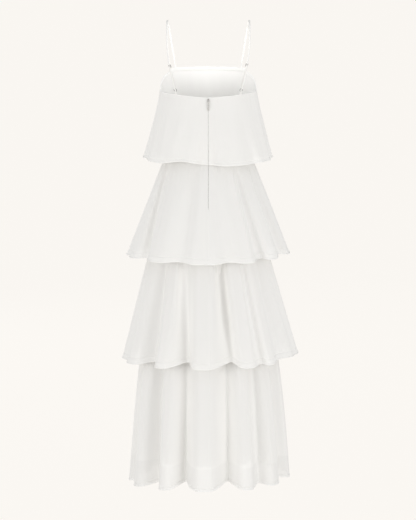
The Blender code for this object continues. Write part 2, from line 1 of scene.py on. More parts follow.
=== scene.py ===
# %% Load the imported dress
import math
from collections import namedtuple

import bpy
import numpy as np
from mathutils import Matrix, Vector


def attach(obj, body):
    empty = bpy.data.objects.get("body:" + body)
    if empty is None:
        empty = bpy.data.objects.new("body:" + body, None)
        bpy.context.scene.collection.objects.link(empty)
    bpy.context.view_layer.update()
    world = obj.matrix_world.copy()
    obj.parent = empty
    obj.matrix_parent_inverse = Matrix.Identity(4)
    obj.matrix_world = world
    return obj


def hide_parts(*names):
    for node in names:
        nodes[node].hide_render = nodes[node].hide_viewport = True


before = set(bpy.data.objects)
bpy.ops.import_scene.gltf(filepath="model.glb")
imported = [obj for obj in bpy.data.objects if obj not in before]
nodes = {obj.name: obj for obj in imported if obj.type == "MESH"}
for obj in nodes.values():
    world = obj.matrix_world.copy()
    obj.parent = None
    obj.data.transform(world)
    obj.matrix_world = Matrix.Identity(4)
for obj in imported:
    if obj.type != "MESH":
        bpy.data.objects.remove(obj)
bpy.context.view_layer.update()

# %% [markdown]
# # A long tiered dress, open in the shape it is worn in
#
# The imported solids are the fixed frame: stiff walls a millimetre thick, with few faces.
# Everything soft is made again here as fine cloth on the same form, and the solids it stands for are hidden.
#
# Metres, +Z up. The front faces -Y and the back, with the zip, faces +Y. An angle runs round the
# dress in degrees: 0 at the centre back, 90 at the +X side, 180 at the centre front.

# %% [markdown]
# ## A mesh from a grid of points
#
# Every new piece is a surface worked out as a whole array: rows of points down the cloth or along
# a strap, columns round it. One helper turns such a grid into a mesh. It can join the last column
# to the first, for a tube, and close the ends of a tube with a face. The cloth's own lengths go
# into a UV map, so that the weave follows the cloth and not the room.

# %% Lengths and faces of a grid


def arc_length(points, axis):
    """Length along the lines of a grid from their start, added up step by step."""
    steps = np.linalg.norm(np.diff(points, axis=axis), axis=-1)
    zero = np.zeros_like(np.take(steps, [0], axis=axis))
    return np.cumsum(np.concatenate([zero, steps], axis=axis), axis=axis)


def grid_corners(rows, columns, round_columns, round_rows):
    """Row and column of each face's four corners. A joined edge has one more face than it else would."""
    down = np.arange(rows if round_rows else rows - 1)
    over = np.arange(columns if round_columns else columns - 1)
    r, c = (part.ravel() for part in np.meshgrid(down, over, indexing="ij"))
    return np.stack([r, r, r + 1, r + 1], axis=1), np.stack([c, c + 1, c + 1, c], axis=1)


def grid_lengths(points):
    """Metres along a grid's columns and down its rows, each the mean of all its lines."""
    closed = np.concatenate([points, points[:, :1]], axis=1)
    closed = np.concatenate([closed, closed[:1]], axis=0)
    return arc_length(closed, 1)[:len(points)].mean(axis=0), arc_length(closed, 0).mean(axis=1)


# %% The mesh helper
CAP_RADIUS = 0.0005


def grid_piece(name, points, finish, round_columns=False, round_rows=False, ends=False):
    """A smooth mesh from a grid of points, rows by columns, with a UV map in metres.

    Each face joins four neighbours of the grid. round_columns and round_rows join the last to the
    first, and ends puts one face on the first row and one on the last.
    """
    rows, columns = points.shape[:2]
    corner_rows, corner_columns = grid_corners(rows, columns, round_columns, round_rows)
    corners = (corner_rows % rows) * columns + corner_columns % columns
    loops = corners.ravel()
    starts = np.arange(len(corners)) * 4
    if ends:
        loops = np.concatenate([loops, np.arange(columns)[::-1], np.arange(columns) + (rows - 1) * columns])
        starts = np.append(starts, [len(corners) * 4, len(corners) * 4 + columns])
    mesh = bpy.data.meshes.new(name)
    mesh.vertices.add(rows * columns)
    mesh.vertices.foreach_set("co", points.astype(np.float32).ravel())
    mesh.loops.add(len(loops))
    mesh.loops.foreach_set("vertex_index", loops.astype(np.int32))
    mesh.polygons.add(len(starts))
    mesh.polygons.foreach_set("loop_start", starts.astype(np.int32))
    mesh.update(calc_edges=True)
    mesh.shade_smooth()
    u, v = grid_lengths(points)
    flat = np.stack([u[corner_columns], v[corner_rows]], axis=-1).reshape(-1, 2)
    if ends:
        cap = np.stack([np.cos(np.arange(columns)), np.sin(np.arange(columns))], axis=1) * CAP_RADIUS
        flat = np.concatenate([flat, cap, cap])
    mesh.uv_layers.new(name="cloth").data.foreach_set("uv", flat.astype(np.float32).ravel())
    piece = bpy.data.objects.new(name, mesh)
    bpy.context.scene.collection.objects.link(piece)
    mesh.materials.append(finish)
    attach(piece, "root")
    print(f"{name}: {len(starts)} faces")
    return piece


# %% [markdown]
# ## Finishes: what the cloth is made of
#
# Chiffon is a sheer, matt cloth of fine crinkled threads. Two looks make it: a plain weave with
# uneven threads, and slow changes of tone where the cloth is denser. Both are used by every fabric
# here, so each is a shader node group with named inputs, placed in each material with its own
# values. The groups read the UV map in metres, so one thread is as wide on a strap as on a tier.

# %% Node helpers


def new_group(name, inputs, outputs):
    """A shader node group with number or vector inputs and outputs. Returns it and its two ends."""
    group = bpy.data.node_groups.new(name, "ShaderNodeTree")
    for label, kind, value in inputs:
        made = group.interface.new_socket(name=label, in_out="INPUT", socket_type=kind)
        if value is not None:
            made.default_value = value
    for label, kind in outputs:
        group.interface.new_socket(name=label, in_out="OUTPUT", socket_type=kind)
    return group, group.nodes.new("NodeGroupInput"), group.nodes.new("NodeGroupOutput")


def maths(tree, kind, first, second=None, third=None):
    """One Math node. Each value is a number or a socket."""
    node = tree.nodes.new("ShaderNodeMath")
    node.operation = kind
    for place, value in enumerate((first, second, third)):
        if isinstance(value, bpy.types.NodeSocket):
            tree.links.new(value, node.inputs[place])
        elif value is not None:
            node.inputs[place].default_value = value
    return node.outputs[0]


def noise(tree, vector, scale, detail=2.0):
    """A Noise node's value on a vector."""
    node = tree.nodes.new("ShaderNodeTexNoise")
    node.inputs["Scale"].default_value = scale
    node.inputs["Detail"].default_value = detail
    tree.links.new(vector, node.inputs["Vector"])
    return node.outputs["Fac"]


def colour_mix(tree, first, second, blend="MIX"):
    """A Mix node between two colours, each a colour or None where a socket is linked later."""
    node = tree.nodes.new("ShaderNodeMix")
    node.data_type = "RGBA"
    node.blend_type = blend
    for label, colour in (("A", first), ("B", second)):
        if colour is not None:
            node.inputs[label].default_value = (*colour, 1.0)
    return node


def bump_from(tree, height, strength, distance, shader):
    """A Bump node from a height into a shader's normal."""
    node = tree.nodes.new("ShaderNodeBump")
    node.inputs["Strength"].default_value = strength
    node.inputs["Distance"].default_value = distance
    tree.links.new(height, node.inputs["Height"])
    tree.links.new(node.outputs["Normal"], shader.inputs["Normal"])


def stretched(tree, vector, scale):
    """The vector through a Mapping node with this scale."""
    node = tree.nodes.new("ShaderNodeMapping")
    node.inputs["Scale"].default_value = scale
    tree.links.new(vector, node.inputs["Vector"])
    return node.outputs["Vector"]


# %% The plain weave
# Height is the mean of two rows of rounded threads, each bent a little by noise.
# Gap is 1 where four threads leave a hole between them.
CRINKLE_SCALE = 260.0
WARP_BEND = 9.0
WEFT_BEND = 7.0
weave, given, result = new_group(
    "plain weave",
    [("Cloth", "NodeSocketVector", None), ("Threads a metre", "NodeSocketFloat", 1200.0),
     ("Crinkle", "NodeSocketFloat", 0.3)],
    [("Height", "NodeSocketFloat"), ("Gap", "NodeSocketFloat")],
)
split = weave.nodes.new("ShaderNodeSeparateXYZ")
weave.links.new(given.outputs["Cloth"], split.inputs[0])
crinkled = noise(weave, given.outputs["Cloth"], CRINKLE_SCALE)
bent = maths(weave, "MULTIPLY", crinkled, given.outputs["Crinkle"])
turns = maths(weave, "MULTIPLY", given.outputs["Threads a metre"], math.pi)


def threads_along(place, bend):
    """A row of rounded threads: the size of a sine of the place, pushed sideways by the bend."""
    phase = maths(weave, "ADD", maths(weave, "MULTIPLY", place, turns), maths(weave, "MULTIPLY", bent, bend))
    return maths(weave, "ABSOLUTE", maths(weave, "SINE", phase))


warp = threads_along(split.outputs["X"], WARP_BEND)
weft = threads_along(split.outputs["Y"], WEFT_BEND)
weave.links.new(maths(weave, "MULTIPLY", maths(weave, "ADD", warp, weft), 0.5), result.inputs["Height"])
hole = maths(weave, "MULTIPLY", maths(weave, "SUBTRACT", 1.0, warp), maths(weave, "SUBTRACT", 1.0, weft))
weave.links.new(hole, result.inputs["Gap"])
print("node group:", weave.name)

# %% The slow tone
# Tone changes slowly over the cloth, longer down it than across, and Slub marks thicker threads.
TONE_STRETCH = (1.0, 0.35, 1.0)
SLUB_STRETCH = (1.0, 0.04, 1.0)
SLUB_SCALE = 420.0
drift, given, result = new_group(
    "slow tone",
    [("Cloth", "NodeSocketVector", None), ("Patches a metre", "NodeSocketFloat", 9.0)],
    [("Tone", "NodeSocketFloat"), ("Slub", "NodeSocketFloat")],
)
patches = drift.nodes.new("ShaderNodeTexNoise")
patches.inputs["Detail"].default_value = 3.0
drift.links.new(stretched(drift, given.outputs["Cloth"], TONE_STRETCH), patches.inputs["Vector"])
drift.links.new(given.outputs["Patches a metre"], patches.inputs["Scale"])
drift.links.new(patches.outputs["Fac"], result.inputs["Tone"])
slub = noise(drift, stretched(drift, given.outputs["Cloth"], SLUB_STRETCH), SLUB_SCALE, 1.0)
drift.links.new(maths(drift, "POWER", slub, 3.0), result.inputs["Slub"])
print("node group:", drift.name)

# %% The material of a fabric
# Painted shade: what is left of each colour where no lining lies behind the cloth, standing in for the
# shaded inside of the dress that shows through it there. The attribute that marks this is 1 there, and 0 on
# cloths that don't have it.
UNLINED_PAINTED_SHADE = (0.965, 0.965, 0.965)
GAP_DARKENS = -0.35
SLUB_LIGHTENS = 0.5


def fabric(name, light, dark, threads, crinkle, patches, depth, roughness, sheer=None):
    """A woven cloth. Its colour lies between dark and light by its tone, less where threads gap.

    sheer gives how much light the cloth stops where it is seen square on and edge on, because
    more threads overlap along the line of sight where it turns away.
    """
    made = bpy.data.materials.new(name)
    made.use_nodes = True
    tree = made.node_tree
    shader = tree.nodes["Principled BSDF"]
    shader.inputs["Roughness"].default_value = roughness
    shader.inputs["Specular IOR Level"].default_value = 0.25
    shader.inputs["Sheen Weight"].default_value = 0.15
    shader.inputs["Sheen Roughness"].default_value = 0.5
    cloth = tree.nodes.new("ShaderNodeUVMap")
    cloth.uv_map = "cloth"
    threads_node = tree.nodes.new("ShaderNodeGroup")
    threads_node.node_tree = weave
    threads_node.inputs["Threads a metre"].default_value = threads
    threads_node.inputs["Crinkle"].default_value = crinkle
    tree.links.new(cloth.outputs["UV"], threads_node.inputs["Cloth"])
    tone_node = tree.nodes.new("ShaderNodeGroup")
    tone_node.node_tree = drift
    tone_node.inputs["Patches a metre"].default_value = patches
    tree.links.new(cloth.outputs["UV"], tone_node.inputs["Cloth"])
    colour = colour_mix(tree, dark, light)
    fuller = maths(tree, "MULTIPLY_ADD", threads_node.outputs["Gap"], GAP_DARKENS, tone_node.outputs["Tone"])
    share = maths(tree, "MULTIPLY_ADD", tone_node.outputs["Slub"], SLUB_LIGHTENS, fuller)
    tree.links.new(share, colour.inputs["Factor"])
    # Painted shade: the colour is multiplied by a grey where the mask attribute is 1, for the shaded inside
    # seen through unlined cloth.
    unlined_painted_shade = tree.nodes.new("ShaderNodeAttribute")
    unlined_painted_shade.attribute_name = "unlined_painted_shade"
    painted_shade_mix = colour_mix(tree, None, UNLINED_PAINTED_SHADE, "MULTIPLY")
    tree.links.new(unlined_painted_shade.outputs["Fac"], painted_shade_mix.inputs["Factor"])
    tree.links.new(colour.outputs["Result"], painted_shade_mix.inputs["A"])
    tree.links.new(painted_shade_mix.outputs["Result"], shader.inputs["Base Color"])
    bump_from(tree, threads_node.outputs["Height"], 0.5, depth, shader)
    if sheer:
        turned = tree.nodes.new("ShaderNodeLayerWeight")
        turned.inputs["Blend"].default_value = 0.35
        square_on, edge_on = sheer
        stopped = maths(tree, "MULTIPLY_ADD", turned.outputs["Facing"], edge_on - square_on, square_on)
        tree.links.new(maths(tree, "MINIMUM", stopped, 1.0), shader.inputs["Alpha"])
    return made


# %% The six fabrics
SHEERNESS = (0.90, 1.15)
# name: its lightest and darkest colour, threads a metre, crinkle, patches a metre, bump depth in
# metres, roughness and how sheer it is
FABRICS = {
    "chiffon": ((0.942, 0.935, 0.916), (0.914, 0.905, 0.883), 1500, 0.5, 11, 0.00004, 0.85, SHEERNESS),
    "chiffon hem": ((0.955, 0.948, 0.930), (0.935, 0.926, 0.906), 1500, 0.5, 30, 0.00004, 0.8),
    "lining": ((0.930, 0.922, 0.902), (0.908, 0.899, 0.877), 2200, 0.15, 8, 0.00003, 0.6),
    "strap cloth": ((0.930, 0.922, 0.902), (0.900, 0.891, 0.868), 1500, 0.4, 60, 0.00003, 0.75),
    "zip tape": ((0.850, 0.836, 0.808), (0.800, 0.786, 0.760), 1100, 0.1, 50, 0.00012, 0.7),
    "sewing thread": ((0.890, 0.880, 0.856), (0.820, 0.806, 0.780), 4000, 0.2, 400, 0.00003, 0.5),
}
chiffon, chiffon_hem, lining, strap_cloth, tape_cloth, thread = (
    fabric(name, *values) for name, values in FABRICS.items())
print("fabrics:", list(FABRICS))

# %% [markdown]
# ## Finishes: the metal trim
#
# The rings, strap sliders and zip slider are small plated castings, and the zip's pull tab is
# polished brighter than the rest. Plating is smooth but never even: it has faint polish marks and
# dulls on its faces. Noise on Object coordinates drives the roughness and the tone, and a slight
# bump breaks the highlight.

# %% The plated metal
MARK_SCALE = 900.0
CLOUD_SCALE = 140.0
SMOOTHEST = 0.16
MARKS_ROUGHEN = 0.22


def plated(name, dark, light):
    """Plated metal. Its tint follows broad noise, and its roughness and bump follow fine marks."""
    made = bpy.data.materials.new(name)
    made.use_nodes = True
    tree = made.node_tree
    shader = tree.nodes["Principled BSDF"]
    shader.inputs["Metallic"].default_value = 1.0
    where = tree.nodes.new("ShaderNodeTexCoord").outputs["Object"]
    marks = noise(tree, where, MARK_SCALE, 4.0)
    tint = colour_mix(tree, dark, light)
    tree.links.new(noise(tree, where, CLOUD_SCALE), tint.inputs["Factor"])
    tree.links.new(tint.outputs["Result"], shader.inputs["Base Color"])
    tree.links.new(maths(tree, "MULTIPLY_ADD", marks, MARKS_ROUGHEN, SMOOTHEST), shader.inputs["Roughness"])
    bump_from(tree, marks, 0.15, 0.0001, shader)
    return made


nickel = plated("nickel", (0.300, 0.290, 0.275), (0.460, 0.450, 0.430))
polished = plated("polished nickel", (0.720, 0.710, 0.690), (0.860, 0.850, 0.830))

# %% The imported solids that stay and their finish
FINISH_OF = {
    "strap_slider_left": nickel,
    "strap_slider_right": nickel,
    "zip_slider": nickel,
    "zip_pull": polished,
}
for name, finish in FINISH_OF.items():
    nodes[name].data.materials.clear()
    nodes[name].data.materials.append(finish)
print("metal on", list(FINISH_OF))

# %% [markdown]
# ## The body form
#
# A fitted bodice and slip take the shape of the body under them. The form is a stack of ovals,
# wider at the bust and hips than at the waist, with two soft cups at the front. One curve through
# a few measured heights gives each oval's width and depths, and it turns only at those heights, so
# it never bulges between them.

# %% Widths and depths of the form
# height, half width at the sides, depth behind the side seams, depth in front of them
BODY = (
    (-0.120, 0.1405, 0.0920, 0.108),
    (-0.203, 0.1395, 0.0935, 0.116),
    (-0.262, 0.1380, 0.0945, 0.121),
    (-0.332, 0.1300, 0.0905, 0.105),
    (-0.400, 0.1255, 0.0885, 0.0925),
    (-0.490, 0.1390, 0.1000, 0.100),
    (-0.610, 0.1550, 0.1170, 0.112),
    (-0.770, 0.1690, 0.1320, 0.126),
    (-0.920, 0.1830, 0.1460, 0.142),
    (-1.140, 0.1950, 0.1650, 0.160),
    (-1.310, 0.2030, 0.1770, 0.172),
)
CUP_RISE = 0.008
CUP_ANGLE = 146.0
CUP_HEIGHT = -0.254
CUP_ANGLE_SPREAD = 17.0
CUP_HEIGHT_SPREAD = 0.045
print("heights of the form:", [row[0] for row in BODY])

# %% Smooth curves and steps


def curve_through(x, xs, ys):
    """Smooth curve through the points (xs, ys) that turns only at the points themselves.

    Between two points it is a cubic, whose slope at each point is the harmonic mean of the slopes
    on its two sides, or level where they differ in sign.
    """
    xs = np.asarray(xs, float)
    ys = np.asarray(ys, float)
    step = np.diff(xs)
    slope = np.diff(ys) / step
    tangent = np.zeros_like(ys)
    product = slope[1:] * slope[:-1]
    total = np.where(product > 0, slope[1:] + slope[:-1], 1.0)
    tangent[1:-1] = np.where(product > 0, 2 * product / total, 0.0)
    tangent[0] = slope[0]
    tangent[-1] = slope[-1]
    k = np.clip(np.searchsorted(xs, x) - 1, 0, len(step) - 1)
    u = (x - xs[k]) / step[k]
    start = ys[k] * (1 + 2 * u) * (1 - u) ** 2 + tangent[k] * step[k] * u * (1 - u) ** 2
    end = ys[k + 1] * u ** 2 * (3 - 2 * u) - tangent[k + 1] * step[k] * u ** 2 * (1 - u)
    return start + end


def smooth_step(x):
    """0 below 0, 1 above 1 and a soft rise between them."""
    x = np.clip(x, 0.0, 1.0)
    return x * x * (3 - 2 * x)


# %% Ovals round the body


def from_back(angle):
    """Angle from the centre back, the same on both sides, from 0 to 180."""
    return abs((np.asarray(angle, float) + 180.0) % 360.0 - 180.0)


def oval(angle, half_width, back, front):
    """Plan point of two half ellipses, one behind the side seams and one before them."""
    turn = np.radians(angle)
    depth = np.where(np.cos(turn) > 0, back, front)
    return half_width * np.sin(turn), depth * np.cos(turn)


def body(angle, height):
    """Plan point of the form: the oval at this height, moved out by a bell-shaped rise at each cup."""
    table = np.array(BODY)
    down = -np.asarray(height, float)
    width, back, front = (curve_through(down, -table[:, 0], table[:, k]) for k in (1, 2, 3))
    x, y = oval(angle, width, back, front)
    turn = np.radians(angle)
    normal_x = np.sin(turn) / width
    normal_y = np.cos(turn) / np.where(np.cos(turn) > 0, back, front)
    size = np.hypot(normal_x, normal_y)
    across = (from_back(angle) - CUP_ANGLE) / CUP_ANGLE_SPREAD
    along = (np.asarray(height, float) - CUP_HEIGHT) / CUP_HEIGHT_SPREAD
    rise = CUP_RISE * np.exp(-across ** 2 - along ** 2)
    return x + rise * normal_x / size, y + rise * normal_y / size


# %% Sheets of points


def sheet_of(x, y, z):
    """Points of a sheet as one array: rows down the cloth, columns round it."""
    return np.stack(np.broadcast_arrays(x, y, z), axis=-1)


def outward(sheet):
    """Level direction that points away from the body at each point of a closed sheet."""
    along = np.roll(sheet, -1, axis=1) - np.roll(sheet, 1, axis=1)
    normal = np.stack([-along[..., 1], along[..., 0], np.zeros(along.shape[:2])], axis=-1)
    return normal / np.linalg.norm(normal, axis=-1, keepdims=True)


BUST_HEIGHT = -0.262
bust = np.array(body(np.arange(0.0, 361.0), BUST_HEIGHT))
print("bust of the form:", round(float(np.hypot(*np.diff(bust)).sum()), 3), "m")

# %% [markdown]
# ## Folds, gathers and creases
#
# Loose cloth that hangs from a seam falls in flutes: ridges that stand out and valleys that fold in, deeper
# towards the hem. A cloth simulation would fold it anywhere, so the folds are listed one by one where they
# are seen, and unevenly all round. Each table row is a valley, the ridge after it and how deep it goes. The
# valleys of the two middle tiers also lean under the ridge beside them.
# On the folds lie finer forms: small gathers just under the seams, single creases that run
# slantwise down the cloth, slow waves, turned hems and the pucker of the seams.

# %% The columns of a folded cloth
SIDE_SEAMS = (90.0, 270.0)
BACK_SEAM = 0.0
ALL_SEAMS = (BACK_SEAM, *SIDE_SEAMS)
# Columns close to each seam, in degrees from it, so that its pinch is smooth.
SEAM_STEPS = (-1.6, -1.1, -0.7, -0.35, 0.0, 0.35, 0.7, 1.1, 1.6)


def fold_columns(folds, steps):
    """Angles of a garment's columns from 0 to 360, with steps columns to each half of a fold."""
    table = np.array(folds)
    knots = np.append(table[:, :2].ravel(), table[0, 0] + 360.0)
    turns = np.arange(len(knots)) * math.pi
    even = np.interp(np.arange(len(folds) * 2 * steps) * math.pi / steps, turns, knots) % 360.0
    seams = np.array((BACK_SEAM, *SIDE_SEAMS))
    clear = np.abs(from_back(even[:, None] - seams[None, :])).min(axis=1) > SEAM_STEPS[-1] + 0.1
    near = (seams[:, None] + np.array(SEAM_STEPS)[None, :]).ravel() % 360.0
    return np.sort(np.concatenate([even[clear], near]))


# %% The wave of the folds


def fold_wave(folds, angles, sharp):
    """Depth of fold at each angle, and its wave from 1 in a valley to 0 on a ridge.

    The wave is a raised cosine of the fold's phase, sharpened by a power, so ridges are broad and
    valleys narrow. The depth passes smoothly from each valley's to the next.
    """
    table = np.array(folds)
    knots = np.append(table[:, :2].ravel(), table[0, 0] + 360.0)
    turns = np.arange(len(knots)) * math.pi
    phase = np.interp((angles - knots[0]) % 360.0 + knots[0], knots, turns)
    fold = np.minimum((phase / (2 * math.pi)).astype(int), len(folds) - 1)
    share = phase / (2 * math.pi) - fold
    here = table[fold, 2]
    after = table[(fold + 1) % len(folds), 2]
    depth = here + (after - here) * (1 - np.cos(math.pi * share)) / 2
    return depth, ((1 + np.cos(phase)) / 2) ** sharp


# %% Gathers, creases and slow waves


def gathers(angles, share, count, size, reach):
    """Small pleats under a seam: fast waves round it that swell and die away within reach.

    Their phase wanders with two slow waves, so no two pleats are alike.
    """
    turn = np.radians(angles)[None]
    wander = 1.9 * np.sin(3 * turn + 0.7) + 1.3 * np.sin(7 * turn + 2.1) + 2.0 * share
    swell = share / reach * np.exp(1 - share / reach)
    uneven = 0.65 + 0.35 * np.sin(5 * turn + 1.3)
    return size * swell * uneven * np.sin(count * turn + wander)


# Beside a crease's ditch, the height of its lip as a share of its depth, and how many half widths
# off the lip lies.
LIP_HEIGHT = 0.55
LIP_PLACE = 1.9


def creases(angles, share, table):
    """Single creases. Each is a bell-shaped ditch across its line, with a lower lip beside it.

    Its line runs from one angle to another between two shares of the cloth's length. It fades in
    and out over a third of that, and one that ends past the hem is cut off by it.
    """
    total = np.zeros(np.broadcast_shapes(angles[None].shape, share.shape))
    for start_angle, end_angle, start, end, width, depth in table:
        along = (share - start) / (end - start)
        centre = start_angle + (end_angle - start_angle) * along
        across = ((angles[None] - centre + 180.0) % 360.0 - 180.0) / width
        fade = smooth_step(along * 3) * smooth_step((1 - along) * 3)
        lip = LIP_HEIGHT * np.exp(-(abs(across) - LIP_PLACE) ** 2)
        total += depth * fade * (lip - np.exp(-across ** 2))
    return total


def soft_waves(angles, share, parts):
    """Slow unevenness: a sum of waves, each with its count round, turns down, phase and size."""
    turn = np.radians(angles)[None]
    return sum(size * np.sin(around * turn + down * share + phase) for around, down, phase, size in parts)


# %% Turned hems and seams
HEM_BULGE = 0.0004
HEM_GROOVE = 0.0009
HEM_BULGE_RISE = 0.002
HEM_GROOVE_WIDTH = 0.0016
SEAM_GROOVE = 0.0008
SEAM_GROOVE_WIDTH = 0.0015
PUCKER = 0.00035
PUCKER_PITCH = 0.011
PUCKER_REACH = 0.006
PUCKER_START = 0.0012


def turned_hem(share, length, depth):
    """A turned-up hem: its cloth is double and stands out a little, with a groove at its stitches."""
    up = (1.0 - share) * length
    inside = smooth_step((depth - up) / HEM_BULGE_RISE)
    groove = np.exp(-((up - depth) / HEM_GROOVE_WIDTH) ** 2)
    return HEM_BULGE * inside - HEM_GROOVE * groove


def seam_pinch(angles, share, seams, half_round, length):
    """How a sewn seam draws its cloth in: a narrow groove, with small puckers along it."""
    total = 0.0
    for seam in seams:
        away = np.radians((angles - seam + 180.0) % 360.0 - 180.0)[None] * half_round
        groove = -SEAM_GROOVE * np.exp(-(away / SEAM_GROOVE_WIDTH) ** 2)
        pucker = PUCKER * np.sin(2 * math.pi * share * length / PUCKER_PITCH + 1.5 * np.sin(9 * share))
        near = np.exp(-(away / PUCKER_REACH) ** 2) * (1 - np.exp(-(away / PUCKER_START) ** 2))
        total = total + groove + pucker * near
    return total


# %% [markdown]
# ## The bodice and the slip
#
# The bodice is cut close to the form, and the slip hangs from it to above the hem, folding with
# the bottom tier. Both are of lining. The neckline is straight across the front, curves under the
# arms and dips at the back. Inside the neckline lies a facing about a centimetre deep, held by a
# row of stitches, which shows at the front through the open neck. Each cloth lies in the middle of
# its solid's wall.

# %% Where the cloths begin and end
CLOTH = 0.0010
BODICE_CLOTH = 0.0012
GAP = 0.0003
ZIP_TAPE = 0.0008
ZIP_SEAM = 0.0009
ZIP_ROOM = ZIP_TAPE + GAP + 0.0002
ZIP_ROOM_REACH = 0.024
WAIST = -0.400
print("waist seam at", WAIST, "and room for the zip", round(ZIP_ROOM, 5))

# %% The neckline and the rows of a cloth
# angle from the centre back, height of the neckline
NECKLINE = (
    (0.0, -0.2206),
    (25.0, -0.2165),
    (45.0, -0.2125),
    (65.0, -0.2105),
    (80.0, -0.2075),
    (90.0, -0.2030),
    (99.5, -0.1880),
    (113.0, -0.1680),
    (125.0, -0.1570),
    (135.5, -0.1450),
    (180.0, -0.1450),
)


def neckline(angle):
    """Height of the neckline."""
    table = np.array(NECKLINE)
    return curve_through(from_back(angle), table[:, 0], table[:, 1])


def rows_down(count, hem_share=0.0, hem_rows=0):
    """Share of the cloth's length at each row, as a column from 0 to 1, with finer rows in the hem."""
    above = np.linspace(0.0, 1.0 - hem_share, count)
    return np.append(above, np.linspace(1.0 - hem_share, 1.0, hem_rows + 1)[1:])[:, None]


def open_at_zip(sheet, share_open=1.0):
    """The closed sheet opened at the centre back, its two edges half the zip's seam to each side.

    share_open is less than one where the slit closes, as one value or as a column for the rows.
    """
    sheet = np.concatenate([sheet, sheet[:, :1]], axis=1)
    for edge, inner in ((0, 1), (-1, -2)):
        along = sheet[:, inner] - sheet[:, edge]
        sheet[:, edge] += along / np.linalg.norm(along, axis=1, keepdims=True) * share_open * ZIP_SEAM / 2
    return sheet


# %% The bodice
# angle of the valley at the hem, angle of the ridge after it, depth of the valley. The top tier
# folds by this table, and the bodice under it has its columns at the same angles.
TIER_1_FOLDS = (
    (-82.0, -64.0, 0.008),
    (-46.0, -24.0, 0.010),
    (0.0, 22.0, 0.028),
    (44.0, 60.0, 0.008),
    (76.0, 97.0, 0.008),
    (113.0, 124.0, 0.006),
    (135.5, 152.0, 0.006),
    (168.0, 181.0, 0.006),
    (195.0, 210.0, 0.006),
    (224.5, 236.0, 0.006),
    (247.0, 262.0, 0.006),
)
BODICE_WAVES = (
    (17, 5.0, 0.4, 0.00025),
    (26, -7.0, 1.9, 0.0002),
    (9, 11.0, 3.0, 0.0002),
)
share = rows_down(56)
bodice_angles = fold_columns(TIER_1_FOLDS, 16)
top = neckline(bodice_angles)
heights = top + (WAIST + GAP - top) * share
bodice = sheet_of(*body(bodice_angles[None], heights), heights)
pinched = seam_pinch(bodice_angles, share, SIDE_SEAMS, 0.13, 0.22)
pulled = soft_waves(bodice_angles, share, BODICE_WAVES)
away = BODICE_CLOTH / 2 + pinched * 0.5 + pulled * np.sin(math.pi * share)
bodice_middle = bodice + outward(bodice) * away[..., None]
bodice_piece = grid_piece("bodice", open_at_zip(bodice_middle), lining)
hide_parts("bodice_front", "bodice_back_left", "bodice_back_right")

# %% The slip
TIER_3_SEAM = -0.610
SLIP_HEM = -1.2985
VALLEY_LIFT = 0.26
SLIP_FOLD_SHARE = 0.70
SLIP_FOLD_GROWTH = 0.9
SLIP_FOLD_SHARPNESS = 1.8
# The slip folds with the bottom tier, so both follow this table.
TIER_4_FOLDS = (
    (-102.0, -86.0, 0.020),
    (-68.0, -54.0, 0.034),
    (-42.0, -29.0, 0.032),
    (-16.5, 5.0, 0.062),
    (21.5, 35.0, 0.062),
    (48.0, 66.0, 0.052),
    (80.0, 92.0, 0.022),
    (111.0, 127.0, 0.055),
    (143.0, 156.0, 0.050),
    (169.0, 181.0, 0.060),
    (193.0, 206.0, 0.050),
    (218.0, 230.0, 0.055),
    (241.0, 252.0, 0.045),
)
SLIP_WAVES = (
    (11, 4.0, 0.3, 0.0006),
    (19, -6.0, 2.2, 0.0005),
    (31, 9.0, 1.0, 0.0003),
)


def slip_folding(heights):
    """How far the slip's folds have grown: a power of how far down from the third tier's seam."""
    return np.maximum((TIER_3_SEAM - heights) / (TIER_3_SEAM - SLIP_HEM), 0.0) ** SLIP_FOLD_GROWTH


share = rows_down(96)
slip_angles = fold_columns(TIER_4_FOLDS, 18)
depth, wave = fold_wave(TIER_4_FOLDS, slip_angles, SLIP_FOLD_SHARPNESS)
hem = SLIP_HEM + VALLEY_LIFT * SLIP_FOLD_SHARE * depth * wave
heights = WAIST - GAP + (hem - WAIST + GAP) * share
smooth = sheet_of(*body(slip_angles[None], heights), heights)
inward = SLIP_FOLD_SHARE * depth * wave * slip_folding(heights)
slip = smooth - outward(smooth) * inward[..., None]
uneven = soft_waves(slip_angles, share, SLIP_WAVES)
pinched = seam_pinch(slip_angles, share, ALL_SEAMS, 0.17, 0.90)
away = CLOTH / 2 + uneven * share + pinched * 0.5
slip_middle = slip + outward(slip) * away[..., None]
slip_piece = grid_piece("slip", slip_middle, lining, round_columns=True)
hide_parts("slip_front", "slip_back_left", "slip_back_right")

# %% [markdown]
# ## The four tiers
#
# Each tier is a loose skirt of chiffon. The top one hangs from the neckline over the bodice and is
# drawn in at the zip; the others are sewn round the waist and the slip, each seam hidden under the
# tier above. A tier opens from its seam to an oval at its hem while its valleys deepen, and its
# height follows from the length of its cloth: the further out a point must reach, the less it
# drops.

# %% What a tier is given
# A tier's oval at the hem, powers that open it and fold it, lengths of its cloth at its sides and
# middle, how sharp its valleys are and how far they lean.
Tier = namedtuple("Tier", "half_width aside back front opening folding right left middle sharp lean")
# The grid of its cloth: rows above the hem and in it, the hem's depth, how many times that depth
# has the finer rows, the cloth's length and how many columns there are to each half of a fold.
Grid = namedtuple("Grid", "rows hem_rows hem_depth hem_reach length steps")
# Its fine form: its creases, the count, size and reach of its gathers, its slow waves, its seams,
# their distance from the middle and their length.
Fine = namedtuple("Fine", "creases pleats pleat_size pleat_reach waves seams half_round seam_length")


def tier_rows(grid):
    """Share of the length at each row of a tier, with finer rows in its hem."""
    return rows_down(grid.rows, grid.hem_depth * grid.hem_reach / grid.length, grid.hem_rows)


# %% Where a tier is sewn on


def sewn_round(angles, height, room):
    """Ring of points on the form, moved out by the room that the cloth under it takes."""
    ring = sheet_of(*body(angles, height), height)
    return ring + outward(ring[None])[0] * np.broadcast_to(room, angles.shape)[:, None]


